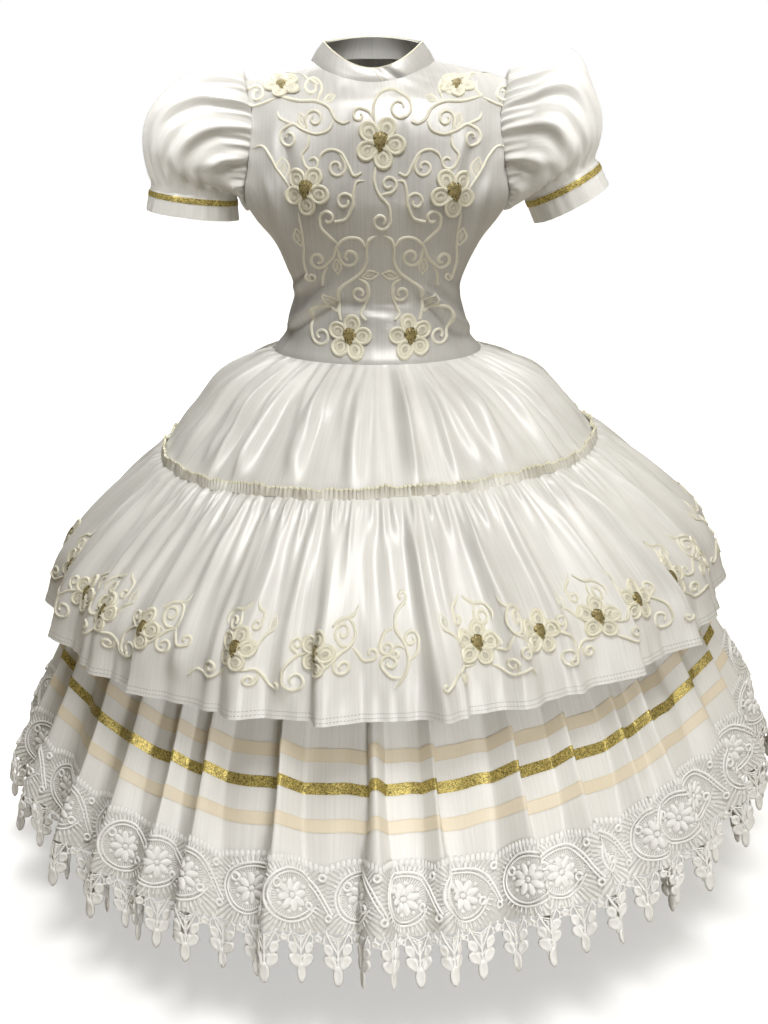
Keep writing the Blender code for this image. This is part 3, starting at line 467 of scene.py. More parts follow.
@dataclass
class FoldRing:
    """Folds round a skirt: for each a valley, a crest and a valley, and between folds flat cloth."""

    count: int
    seed: float
    foot: float = 0.27
    seen: tuple[Pair, ...] = ()
    tight: float = 0.45
    angles: Grid = field(init=False)
    depths: Grid = field(init=False)

    def __post_init__(self) -> None:
        """Places of the valleys and crests in degrees, uneven by slow sines of the fold's number."""
        if self.seen:
            others = self.count - len(self.seen)
            start, end = self.seen[-1][0], self.seen[0][0] + 360.0
            step = np.arange(1, others + 1)
            hidden = start + (end - start) * step / (others + 1) + 1.6 * np.sin(step * 2.3 + self.seed)
            centres = np.concatenate([hidden, [a + 360.0 for a, _ in self.seen]])
            deep = 1.0 + 0.25 * np.sin(step * 1.7 + self.seed)
            self.depths = np.concatenate([deep, [d for _, d in self.seen]])
        else:
            step = np.arange(self.count)
            pitch = 360.0 / self.count
            centres = pitch * (step + 0.5 + 0.16 * np.sin(step * 2.3 + self.seed))
            self.depths = 1.0 + 0.25 * np.sin(step * 1.7 + 2 * self.seed)
        before = (centres - np.roll(centres, 1)) % 360.0
        after = (np.roll(centres, -1) - centres) % 360.0
        tip = 0.07 * np.sin(np.arange(self.count) * 2.9 + self.seed) * np.minimum(before, after)
        feet = (centres - self.foot * before, centres + self.foot * after)
        self.angles = np.stack([feet[0], centres + tip, feet[1]], axis=1)

    def column_angle(self, c: Grid, drawn: Grid | float = 0.0) -> Grid:
        """The angle in radians at a column number: three columns to a fold, numbers past the ring go on.

        Args:
            c: Column numbers.
            drawn: 0 for the folds' full width, 1 where their valleys are drawn in towards the crest.
        """
        crest = self.angles[:, 1:2]
        near_crest = crest + (self.angles - crest) * self.tight
        wide, narrow = (on_ring(c, *self.table(angles)) for angles in (self.angles, near_crest))
        return np.radians(wide + (narrow - wide) * drawn)

    def table(self, angles: Grid) -> tuple[Grid, Grid]:
        """Column numbers and their angles in degrees, once round."""
        flat = angles.reshape(-1)
        return np.arange(len(flat) + 1.0), np.concatenate([flat, flat[:1] + 360.0])

    def column_of(self, angle: Grid) -> Grid:
        """The column number at an angle in radians."""
        columns, degrees = self.table(self.angles)
        return on_ring(np.degrees(angle), degrees, columns)

    def bump(self, c: Grid) -> tuple[Grid, Grid]:
        """A rounded bump over each fold times its depth, and the depth of the cloth's low parts."""
        place = c % (3 * self.count)
        number = np.floor(place / 3).astype(int) % self.count
        within = place - 3 * np.floor(place / 3)
        depth, after = self.depths[number], self.depths[(number + 1) % self.count]
        level = depth + (after - depth) * fade(within, 2.0, 3.0)
        return depth * np.sin(math.pi * np.clip(within / 2.0, 0.0, 1.0)) ** 2, level

    def side_columns(self) -> tuple[int, int]:
        """The valley columns nearest to the right and the left side seam."""
        flat = self.angles.reshape(-1) % 360.0
        valleys = np.arange(0, len(flat), 3)
        right = valleys[np.argmin(np.abs(flat[valleys] - 90.0))]
        left = valleys[np.argmin(np.abs(flat[valleys] - 270.0))]
        return int(right), int(left)


@dataclass
class TierCloth(Cloth):
    """A gathered tier: u is a column number of its folds, and v the height before the lean."""

    levels: tuple[Level, ...]
    folds: FoldRing
    gathers: tuple[Gathers, ...]
    pleats: tuple[Pleat, ...] = ()
    hem: float = 0.0
    overhang: float = 0.0
    tuck: float = 0.0012

    step_u = 0.02

    def read(self, name: str, v: Grid) -> Grid:
        """One column of the levels' table at heights v."""
        return read_column(self.levels, name, v)

    def point(self, u: Grid, v: Grid) -> Grid:
        """Ovals moved out by the folds' bumps, by the gathers under the seam and by the long folds."""
        u, v = np.broadcast_arrays(np.asarray(u, float), np.asarray(v, float))
        angle = self.folds.column_angle(u)
        azimuth = (np.degrees(angle) + 180.0) % 360.0 - 180.0
        bump, level = self.folds.bump(u)
        fold = self.read("fold", v)
        low, top = self.levels[0].z, self.levels[-1].z
        below = top - v
        radius = self.read("half_width", v)
        out = (bump - 0.35 * level) * fold
        for part in self.gathers + self.pleats:
            out = out + part.relief(azimuth, below, radius)
        out = out - self.tuck * (1.0 - fade(below, -0.0016, 0.004))
        if self.hem:
            edge = 1.0 - fade(v - low, 0.006, 0.012)
            pucker = 0.5 + 0.5 * np.sin(330 * angle + 6 * np.sin(9 * angle))
            out = out + self.hem * edge * (0.6 + 0.6 * pucker)
            ripple = np.sin(120 * angle + 5 * np.sin(7 * angle))
            out = out + 0.0008 * (1.0 - fade(v - low, 0.008, 0.04)) * ripple
        swing = self.overhang * np.sign(np.sin(angle)) * bump * fold / 0.015
        turned = angle + swing * fade(below, 0.02, 0.15)
        sine, cosine = np.sin(turned), np.cos(turned)
        x = radius * sine + out * sine
        y = -np.where(cosine > 0, self.read("front", v), self.read("back", v)) * cosine - out * cosine
        rise = self.read("front_rise", v) * np.maximum(np.cos(angle), 0.0) ** 2
        return leaned(np.stack([x, y, v + rise + 0.25 * out], axis=-1))


HEM_Z, HEM_RADIUS, HEM_FOLD, SPREAD = -0.8244, 0.483, 0.026, 0.5
CREST_LIFT = 0.017
APEX_Z = HEM_Z + HEM_RADIUS / SPREAD
GATHER_Z, UNDERSKIRT_TOP_Z, UNDERSKIRT_TOP_RADIUS = -0.575, -0.56, 0.3545
PENDANT_DROP, PENDANT_SPREAD = 0.056, 1.025
FOLD_COUNT = 32


@dataclass
class UnderskirtCloth(Cloth):
    """The folded underskirt: u is a column number of its folds, and v the height before the lean."""

    folds: FoldRing
    overhang: float = 0.024

    step_u = 0.02

    def point(self, u: Grid, v: Grid) -> Grid:
        """The folded hem drawn towards a point over the waist; under the hem it spreads less."""
        drawn = fade(v, HEM_Z - 0.01, -0.7)
        angle = self.folds.column_angle(u, drawn)
        bump, level = self.folds.bump(u)
        share = (APEX_Z - v) / (APEX_Z - HEM_Z)
        below = np.clip((HEM_Z - v) / PENDANT_DROP, 0.0, 2.0)
        share = np.where(v < HEM_Z, 1.0 + (PENDANT_SPREAD - 1.0) * below, share)
        out = HEM_FOLD * (1.0 - 0.42 * drawn) * (bump - 0.35 * level)
        soft = 0.0016 * np.sin(61 * angle + 3 * np.sin(7 * angle)) * fade(v, HEM_Z, GATHER_Z)
        soft = soft + 0.0022 * np.sin(29 * angle + 2.0 * np.sin(5 * angle) + 14 * v)
        radius = (HEM_RADIUS + out + soft) * share
        top = fade(v, GATHER_Z, UNDERSKIRT_TOP_Z)
        radius = radius * (1.0 - top) + UNDERSKIRT_TOP_RADIUS * top
        swing = self.overhang * np.sign(np.sin(angle)) * bump
        turned = angle + swing * fade(np.abs(np.sin(angle)), 0.0, 0.06)
        z = v + CREST_LIFT * bump * (1.0 - fade(v, -0.66, GATHER_Z))
        return leaned(np.stack([radius * np.sin(turned), -radius * np.cos(turned), z], axis=-1))


@dataclass
class FrillCloth(Cloth):
    """The gathered frill over the flounce's seam: u is the angle, and v runs 0 at its root to 1."""

    height: float = 0.0104
    waves: int = 330

    step_v = 0.02

    def point(self, u: Grid, v: Grid) -> Grid:
        """A short wall up the tier, whose free edge waves in and out."""
        seam, above = FLOUNCE_LEVELS[-1], TIER_LEVELS[1]
        run = unit(np.array([above.half_width - seam.half_width, above.z - seam.z]))
        phase = self.waves * u + 5.2 * np.sin(7 * u) + 3.1 * np.sin(13 * u + 1) + 1.9 * np.sin(37 * u + 2)
        wave = np.abs(np.sin(0.5 * phase)) ** 0.8
        size = 0.72 + 0.42 * np.sin(43 * u + 1) * np.sin(17 * u)
        free = np.clip(0.06 + 0.94 * v, 0.0, 1.1)
        stand = 0.0006 + free * (0.0012 + 0.0062 * wave * size + 0.0012 * np.sin(31 * u + 2 * np.sin(5 * u)))
        along = self.height * v * (0.92 + 0.14 * np.sin(61 * u) * np.sin(23 * u) + 0.1 * wave * size)
        along = along + 0.0011 * np.sin(11 * u + 0.6) + 0.0007 * np.sin(27 * u)
        radius = seam.half_width + run[0] * along + run[1] * stand
        z = seam.z + run[1] * along - run[0] * stand + seam.front_rise * np.maximum(np.cos(u), 0.0) ** 2
        turned = u + 0.004 * v * np.sin(phase + 1.2)
        return leaned(np.stack([radius * np.sin(turned), -radius * np.cos(turned), z], axis=-1))


# Raised work laid on a cloth


@dataclass(frozen=True)
class Scroll:
    """A stitched line in millimetres, through points, that may end in a curl.

    The curl is the radius of its first turn, positive to the left of the way it runs.
    """

    points: tuple[Pair, ...]
    curl: float = 0.0
    turns: float = 1.2
    width: float = 3.7

    def path(self, step: float = 0.0016) -> Grid:
        """The line in metres: smooth curves through the points, then a spiral whose radius shrinks."""
        given = np.array(self.points) / 1000.0
        place = run_of(given)
        fine = np.linspace(0.0, place[-1], max(8, int(place[-1] / step * 3)))
        line = np.stack([smooth(fine, place, given[:, i]) for i in range(2)], axis=1)
        if self.curl:
            turn = np.linspace(0.0, TAU * self.turns, 90)[1:]
            radius = abs(self.curl) / 1000.0 * (1.0 - 0.7 * turn / turn[-1])
            run = line[-1] - line[-2]
            heading = math.atan2(run[1], run[0]) + math.copysign(1.0, self.curl) * turn
            steps = radius * (turn[1] - turn[0])
            way = np.stack([np.cos(heading), np.sin(heading)], axis=1)
            line = np.concatenate([line, line[-1] + np.cumsum(way * steps[:, None], axis=0)])
        length = run_of(line)
        even = np.linspace(0.0, length[-1], max(4, int(length[-1] / step)))
        return np.stack([np.interp(even, length, line[:, i]) for i in range(2)], axis=1)

    def mirrored(self, middle: float) -> Scroll:
        """The same line on the other side of an upright middle line, in millimetres."""
        return Scroll(tuple((2 * middle - x, y) for x, y in self.points), -self.curl, self.turns, self.width)


@dataclass
class Pattern:
    """Raised parts drawn flat: points with a height over the cloth, faces, and UV for each corner."""

    points: list[Grid] = field(default_factory=list)
    faces: list[Grid] = field(default_factory=list)
    uvs: list[Grid] = field(default_factory=list)
    count: int = 0

    def add(self, points: Grid, faces: Grid, uv: Grid) -> None:
        """Adds points of (across, along, height), faces of three or four corners, and a UV per point."""
        self.points.append(points)
        self.faces.append(faces + self.count)
        self.uvs.append(uv[faces].reshape(-1, 2))
        self.count += len(points)

    def cord(
        self, path: Grid, width: float, height: float, base: float = 0.0,
        taper: Pair = (0.4, 0.9), round_: bool = False, sides: int = 4,
    ) -> None:
        """A cord along a flat path: half an ellipse for its section, or a whole one where it hangs free.

        Args:
            path: Its points in metres.
            width: Its width.
            height: Its height over the cloth, or its thickness where it is round.
            base: The height of its underside, or of its middle where it is round.
            taper: Its relative width at the two ends.
            round_: True for a free cord.
            sides: Faces round the section.
        """
        run = unit(np.gradient(path, axis=0))
        across = np.stack([-run[:, 1], run[:, 0]], axis=1)
        length = run_of(path)
        end = min(0.009, 0.45 * length[-1])
        size = (taper[0] + (1 - taper[0]) * fade(length, 0.0, end)) * (
            taper[1] + (1 - taper[1]) * fade(length[-1] - length, 0.0, end)
        )
        if round_:
            turn = TAU * np.arange(sides) / sides
            up = 0.5 * height * np.sin(turn)
        else:
            turn = np.linspace(math.pi, 0.0, sides + 1)
            up = height * np.sin(turn) ** 0.8
        side, columns = 0.5 * width * np.cos(turn), len(turn)
        flat = path[:, None, :] + across[:, None, :] * (side[None, :] * size[:, None])[..., None]
        high = base + up[None, :] * size[:, None]
        points = np.concatenate([flat, high[..., None]], axis=2).reshape(-1, 3)
        row, column = cells(len(path) - 1, sides)
        after, here, next_row = (column + 1) % columns, row * columns, (row + 1) * columns
        faces = np.stack([next_row + column, next_row + after, here + after, here + column], axis=1)
        uv = np.stack(np.broadcast_arrays(side[None, :] + 0.5 * width, length[:, None]), axis=2)
        self.add(points, faces, uv.reshape(-1, 2))

    def lobe(
        self, centre: Pair, half: Pair, tilt: float,
        profile: tuple[Pair, ...], sides: int = 16, tip: float = 0.0,
        under: float | None = None,
    ) -> None:
        """A rounded lobe: an oval, or a drop with its tip at its start, raised by a profile.

        Args:
            centre: Its middle in metres.
            half: Half its length, along the tilt, and half its width.
            tilt: The way it points, in degrees from the right, to the left.
            profile: (share of the way from the middle to the edge, height) from the middle out.
            sides: Points round it.
            tip: 0 for an oval, about 1 for a drop.
            under: The height of a flat underside, where it hangs free.
        """
        rings = list(profile)
        if under is not None:
            rings = rings + [(0.6, under)]
        turn = TAU * np.arange(sides) / sides
        along = -half[0] * np.cos(turn)
        wide = half[1] * np.sin(turn) * np.sin(turn / 2.0) ** tip
        angle = math.radians(tilt)
        shares = np.array([share for share, _ in rings[1:]])
        heights = np.array([height for _, height in rings[1:]])
        x = centre[0] + (along * math.cos(angle) - wide * math.sin(angle)) * shares[:, None]
        y = centre[1] + (along * math.sin(angle) + wide * math.cos(angle)) * shares[:, None]
        ring = np.stack([x, y, np.broadcast_to(heights[:, None], x.shape)], axis=2).reshape(-1, 3)
        points = np.concatenate([[[*centre, rings[0][1]]], ring])
        plotted = np.broadcast_arrays((turn / TAU * 0.05)[None, :], (shares * 0.01)[:, None])
        uv = np.concatenate([[[0.0, 0.0]], np.stack(plotted, axis=2).reshape(-1, 2)])
        place = np.arange(sides)
        nxt = (place + 1) % sides
        fan = np.stack([np.zeros_like(place), 1 + place, 1 + nxt], axis=1)
        row, column = cells(len(shares) - 1, sides)
        after, inner, outer = (column + 1) % sides, 1 + row * sides, 1 + (row + 1) * sides
        band = np.stack([inner + column, outer + column, outer + after, inner + after], axis=1)
        split = np.concatenate([band[:, [0, 1, 2]], band[:, [0, 2, 3]]])
        faces = [fan, split]
        if under is not None:
            points = np.concatenate([points, [[*centre, under]]])
            uv = np.concatenate([uv, [[0.0, 0.0]]])
            last = 1 + (len(shares) - 1) * sides
            faces.append(np.stack([np.full_like(place, len(points) - 1), last + nxt, last + place], axis=1))
        self.add(points, np.concatenate(faces), uv)

    def move(self, centre: Pair, squash: float) -> None:
        """Squashes the parts along and moves them to a centre."""
        for points in self.points:
            points[:, 1] *= squash
            points[:, :2] += centre

    def join(self, other: Pattern) -> None:
        """Adds another pattern's parts."""
        self.points += other.points
        self.faces += [faces + self.count for faces in other.faces]
        self.uvs += other.uvs
        self.count += other.count

    def merged(self) -> tuple[Grid, list[Grid], Grid]:
        """All points, the faces by their number of corners, and the UV in the faces' order."""
        points = np.concatenate(self.points)
        quads = [i for i, f in enumerate(self.faces) if f.shape[1] == 4]
        others = [i for i, f in enumerate(self.faces) if f.shape[1] == 3]
        groups, uvs = [], []
        for chosen in (quads, others):
            if chosen:
                groups.append(np.concatenate([self.faces[i] for i in chosen]))
                uvs += [self.uvs[i] for i in chosen]
        return points, groups, np.concatenate(uvs)


def repeat(faces: list[Grid], uv: Grid, size: int, count: int) -> tuple[list[Grid], Grid]:
    """Faces and UV of a pattern that is laid several times, its points one copy after another."""
    out, corners, start = [], [], 0
    for group in faces:
        shift = np.arange(count)[:, None, None] * size
        out.append((group[None] + shift).reshape(-1, group.shape[1]))
        used = uv[start : start + group.size]
        corners.append(np.tile(used, (count, 1)))
        start += group.size
    return out, np.concatenate(corners)


@dataclass
class FrontPlan:
    """Plans on the bodice's front: across and up as seen straight ahead."""

    cloth: BodiceCloth

    def lay(self, flat: Grid) -> Grid:
        """Points of (across, up, height) laid on the bodice."""
        u, v = self.cloth.seen(flat[..., 0], flat[..., 1])
        return self.cloth.lifted(u, v, flat[..., 2])


@dataclass
class RingPlan:
    """Plans on a skirt: across along the folded cloth from a column, and up its slope from a height."""

    cloth: Cloth
    folds: FoldRing
    height: float
    columns: Grid = field(init=False)
    lengths: Grid = field(init=False)

    def __post_init__(self) -> None:
        """The length of the folded ring up to each column."""
        self.columns = np.linspace(0.0, 3.0 * self.folds.count, 90 * self.folds.count + 1)
        ring = self.cloth.point(self.columns, np.full(self.columns.shape, self.height))
        self.lengths = run_of(ring)

    def length_at(self, column: Grid) -> Grid:
        """The length along the folded cloth up to a column number; columns past the ring go on round it."""
        return on_ring(column, self.columns, self.lengths)

    def column_at(self, length: Grid) -> Grid:
        """The column number at a length; lengths past the ring go on round it."""
        return on_ring(length, self.lengths, self.columns)

    def length_of(self, azimuths: Grid) -> Grid:
        """The length along the folded cloth up to azimuths in degrees."""
        return self.length_at(self.folds.column_of(np.radians(azimuths % 360.0)) % self.columns[-1])

    def lay(self, flat: Grid, start: Grid, stretch: float) -> Grid:
        """Plans laid on the ring.

        Args:
            flat: Points of (across, up, height).
            start: The length along the ring where each plan's middle lies.
            stretch: How much the plans are widened.

        Returns:
            Points, one plan after another.
        """
        length = start[:, None] + flat[None, :, 0] * stretch
        u = self.column_at(length)
        along = self.cloth.tangents(self.column_at(start), np.full(start.shape, self.height))[1]
        v = self.height + flat[None, :, 1] / np.linalg.norm(along, axis=1)[:, None]
        return self.cloth.lifted(u, v, np.broadcast_to(flat[None, :, 2], u.shape))


# Finishes


class Slot(Enum):
    """The record's material slots."""

    SATIN = "white_satin"
    THREAD = "embroidery"
    EDGING = "cream_edging"
    GOLD = "gold_ribbon"
    PEACH = "peach_ribbon"
    LACE = "guipure_lace"


@dataclass
class NodeBench:
    """Adds nodes to a tree and links them."""

    tree: bpy.types.NodeTree

    def add(self, kind: str, **values: object) -> bpy.types.Node:
        """A node with its settings and its sockets' values; a socket given as a value is linked."""
        node = self.tree.nodes.new(kind)
        for name, value in values.items():
            if hasattr(node, name):
                setattr(node, name, value)
                continue
            key = int(name[1:]) if name[0] == "s" and name[1:].isdigit() else name.replace("_", " ")
            socket = node.inputs[key]
            if isinstance(value, Socket):
                self.tree.links.new(value, socket)
            else:
                socket.default_value = value
        return node

    def math(self, operation: str, a: object, b: object = 0.0) -> Socket:
        """One sum."""
        return self.add("ShaderNodeMath", operation=operation, s0=a, s1=b).outputs[0]

    def times(self, a: object, b: object) -> Socket:
        """A product."""
        return self.math("MULTIPLY", a, b)

    def span(
        self, value: object, low: float, high: float, start: float = 0.0, end: float = 1.0
    ) -> Socket:
        """A value's way from low to high, as a way from start to end."""
        return self.add("ShaderNodeMapRange", s0=value, s1=low, s2=high, s3=start, s4=end).outputs[0]

    def mix(self, mask: object, colour: object, other: tuple[float, ...]) -> Socket:
        """A colour, or a socket of one, that turns into another where the mask is 1."""
        given = (*colour, 1.0) if isinstance(colour, tuple) else colour
        return self.add("ShaderNodeMix", data_type="RGBA", s0=mask, s6=given, s7=(*other, 1.0)).outputs[2]

    def link(self, source: Socket, target: Socket) -> None:
        """Joins two sockets."""
        self.tree.links.new(source, target)


def thread_group() -> bpy.types.NodeTree:
    """A group for threads: long uneven threads along V, with a fine weave across them."""
    group = bpy.data.node_groups.new("threads", "ShaderNodeTree")
    for name, start in (("Across", 1500.0), ("Along", 22.0), ("Weave", 2600.0), ("Uneven", 0.5)):
        socket = group.interface.new_socket(name, in_out="INPUT", socket_type="NodeSocketFloat")
        socket.default_value = start
    group.interface.new_socket("UV", in_out="INPUT", socket_type="NodeSocketVector")
    group.interface.new_socket("Slub", in_out="OUTPUT", socket_type="NodeSocketFloat")
    group.interface.new_socket("Height", in_out="OUTPUT", socket_type="NodeSocketFloat")
    bench = NodeBench(group)
    given = bench.add("NodeGroupInput")
    parts = bench.add("ShaderNodeSeparateXYZ", s0=given.outputs["UV"])
    x = bench.times(parts.outputs[0], given.outputs["Across"])
    y = bench.times(parts.outputs[1], given.outputs["Along"])
    place = bench.add("ShaderNodeCombineXYZ", s0=x, s1=y).outputs[0]
    fine = bench.add("ShaderNodeTexNoise", Vector=place, Scale=1.0, Detail=3.0, Roughness=0.6).outputs[0]
    broad = bench.add("ShaderNodeTexNoise", Vector=place, Scale=0.3, Detail=2.0, Roughness=0.55).outputs[0]
    slub = bench.math("ADD", bench.times(fine, 0.45), bench.times(broad, 0.55))
    wx = bench.times(parts.outputs[0], given.outputs["Weave"])
    wy = bench.times(parts.outputs[1], given.outputs["Weave"])
    waves = bench.times(bench.math("SINE", wx), bench.math("SINE", wy))
    height = bench.math("ADD", bench.times(slub, given.outputs["Uneven"]), bench.times(waves, 0.12))
    made = bench.add("NodeGroupOutput")
    bench.link(slub, made.inputs["Slub"])
    bench.link(height, made.inputs["Height"])
    return group


@dataclass
class ClothFinish:
    """A shaded cloth: threads in its colour and relief, a soft sheen, and a seam's darker edge."""

    name: str
    slot: Slot
    colour: Triple
    shade: Triple
    roughness: float = 0.32
    metallic: float = 0.0
    sheen: float = 0.12
    bump: float = 0.3
    across: float = 1500.0
    along: float = 22.0
    stitch: tuple[float, ...] = ()
    line: float = 0.00045
    glitter: float = 0.0
    net: float = 0.0
    stripe: float = 0.0
    border: Pair = (0.0, 0.0)

    def make(self, threads: bpy.types.NodeTree) -> bpy.types.Material:
        """The material, on the piece's own UV map, whose units are metres of cloth."""
        made = bpy.data.materials.new(self.name)
        made.use_nodes = True
        tree = made.node_tree
        shader = tree.nodes["Principled BSDF"]
        bench = NodeBench(tree)
        uv = bench.add("ShaderNodeUVMap", uv_map="cloth").outputs[0]
        group = bench.add("ShaderNodeGroup", node_tree=threads, UV=uv, Across=self.across, Along=self.along)
        slub = group.outputs["Slub"]
        wide = bench.add("ShaderNodeTexNoise", Vector=uv, Scale=9.0, Detail=2.0).outputs[0]
        blend = bench.times(bench.math("ADD", slub, wide), 0.5)
        ramp = bench.add("ShaderNodeValToRGB", Fac=blend)
        ramp.color_ramp.elements[0].position, ramp.color_ramp.elements[1].position = 0.36, 0.62
        ramp.color_ramp.elements[0].color = (*self.shade, 1.0)
        ramp.color_ramp.elements[1].color = (*self.colour, 1.0)
        colour, height = ramp.outputs[0], group.outputs["Height"]
        rough = bench.span(slub, 0.0, 1.0, self.roughness - 0.05, self.roughness + 0.07)
        parts = bench.add("ShaderNodeSeparateXYZ", s0=uv)
        x, y = parts.outputs[0], parts.outputs[1]
        if self.stitch:
            dash = bench.math("GREATER_THAN", bench.math("SINE", bench.times(x, 2400.0)), -0.35)
            for place in self.stitch:
                off = bench.math("ABSOLUTE", bench.math("SUBTRACT", y, place))
                line = bench.math("LESS_THAN", off, self.line)
                # Painted shade: each stitch row is drawn as a dashed line darker than the cloth, the shade
                # in its groove.
                colour = bench.mix(bench.times(line, dash), colour, tuple(0.72 * c for c in self.shade))
                height = bench.math("SUBTRACT", height, bench.times(line, 0.8))
        if self.net:
            hole = self.holes(bench, uv, x, y)
            # The holes are real; the satin seen through them is drawn in the darker tone, as painted shade.
            colour = bench.mix(hole, colour, self.shade)
            height = bench.math("SUBTRACT", height, bench.times(hole, 1.6))
        if self.stripe:
            slant = bench.math("ADD", y, bench.times(x, 0.55))
            thread = bench.math("SINE", bench.times(slant, TAU / self.stripe))
            dip = bench.span(thread, -1.0, -0.3, 0.6, 0.0)
            # Painted shade: the dips between satin stitches are drawn darker.
            colour = bench.mix(dip, colour, self.shade)
            height = bench.math("ADD", height, bench.times(thread, 0.5))
        if self.border[0]:
            wide, edge = self.border
            low, high = bench.math("LESS_THAN", y, edge), bench.math("GREATER_THAN", y, wide - edge)
            colour = bench.mix(bench.math("MAXIMUM", low, high), colour, self.shade)
        if self.glitter:
            grains = bench.add("ShaderNodeTexVoronoi", Vector=uv, Scale=self.glitter)
            spark = bench.add("ShaderNodeSeparateColor", Color=grains.outputs["Color"]).outputs[0]
            dull = tuple(0.55 * c for c in self.shade)
            # Painted glints: each flake is drawn bright or dull at random, the bright ones lighter than the
            # metal's own colour.
            colour = bench.mix(spark, dull, tuple(min(1.0, 1.5 * c) for c in self.colour))
            height = bench.math("ADD", spark, height)
        bench.link(colour, shader.inputs["Base Color"])
        bench.link(rough, shader.inputs["Roughness"])
        relief = bench.add("ShaderNodeBump", Strength=self.bump, Distance=0.0004, Height=height)
        bench.link(relief.outputs[0], shader.inputs["Normal"])
        shader.inputs["Metallic"].default_value = self.metallic
        shader.inputs["Sheen Weight"].default_value = self.sheen
        shader.inputs["Sheen Roughness"].default_value = 0.4
        return made

    def holes(self, bench: NodeBench, uv: object, x: object, y: object) -> Socket:
        """A net's holes: cells, and in two rounds about each repeat's middle the gaps between bars.

        Args:
            bench: The material's bench.
            uv: The cloth's UV, whose V is 0 along the repeats' middles.
            x: Its U.
            y: Its V.
        """
        grain = bench.add("ShaderNodeTexVoronoi", feature="DISTANCE_TO_EDGE", Vector=uv, Scale=self.net)
        mesh = bench.span(grain.outputs[0], 0.12, 0.3)
        share = bench.math("FRACT", bench.math("DIVIDE", x, REPEAT))
        x = bench.times(bench.math("SUBTRACT", share, 0.5), REPEAT)
        away = bench.math("SQRT", bench.math("ADD", bench.times(x, x), bench.times(y, y)))
        bars = bench.math("SINE", bench.times(bench.math("ARCTAN2", y, x), 52.0))
        gaps = bench.span(bars, -0.1, 0.5)
        inner = bench.times(bench.math("GREATER_THAN", away, 0.0165), bench.math("LESS_THAN", away, 0.0225))
        rounds = bench.math("MAXIMUM", inner, bench.math("GREATER_THAN", away, 0.028))
        return bench.add("ShaderNodeMix", data_type="FLOAT", s0=rounds, s2=mesh, s3=gaps).outputs[0]


# Meshes


class Held(Enum):
    """How a cloth is held."""

    STRETCHED = "stretched"
    GATHERED = "gathered"
    LAID = "laid"


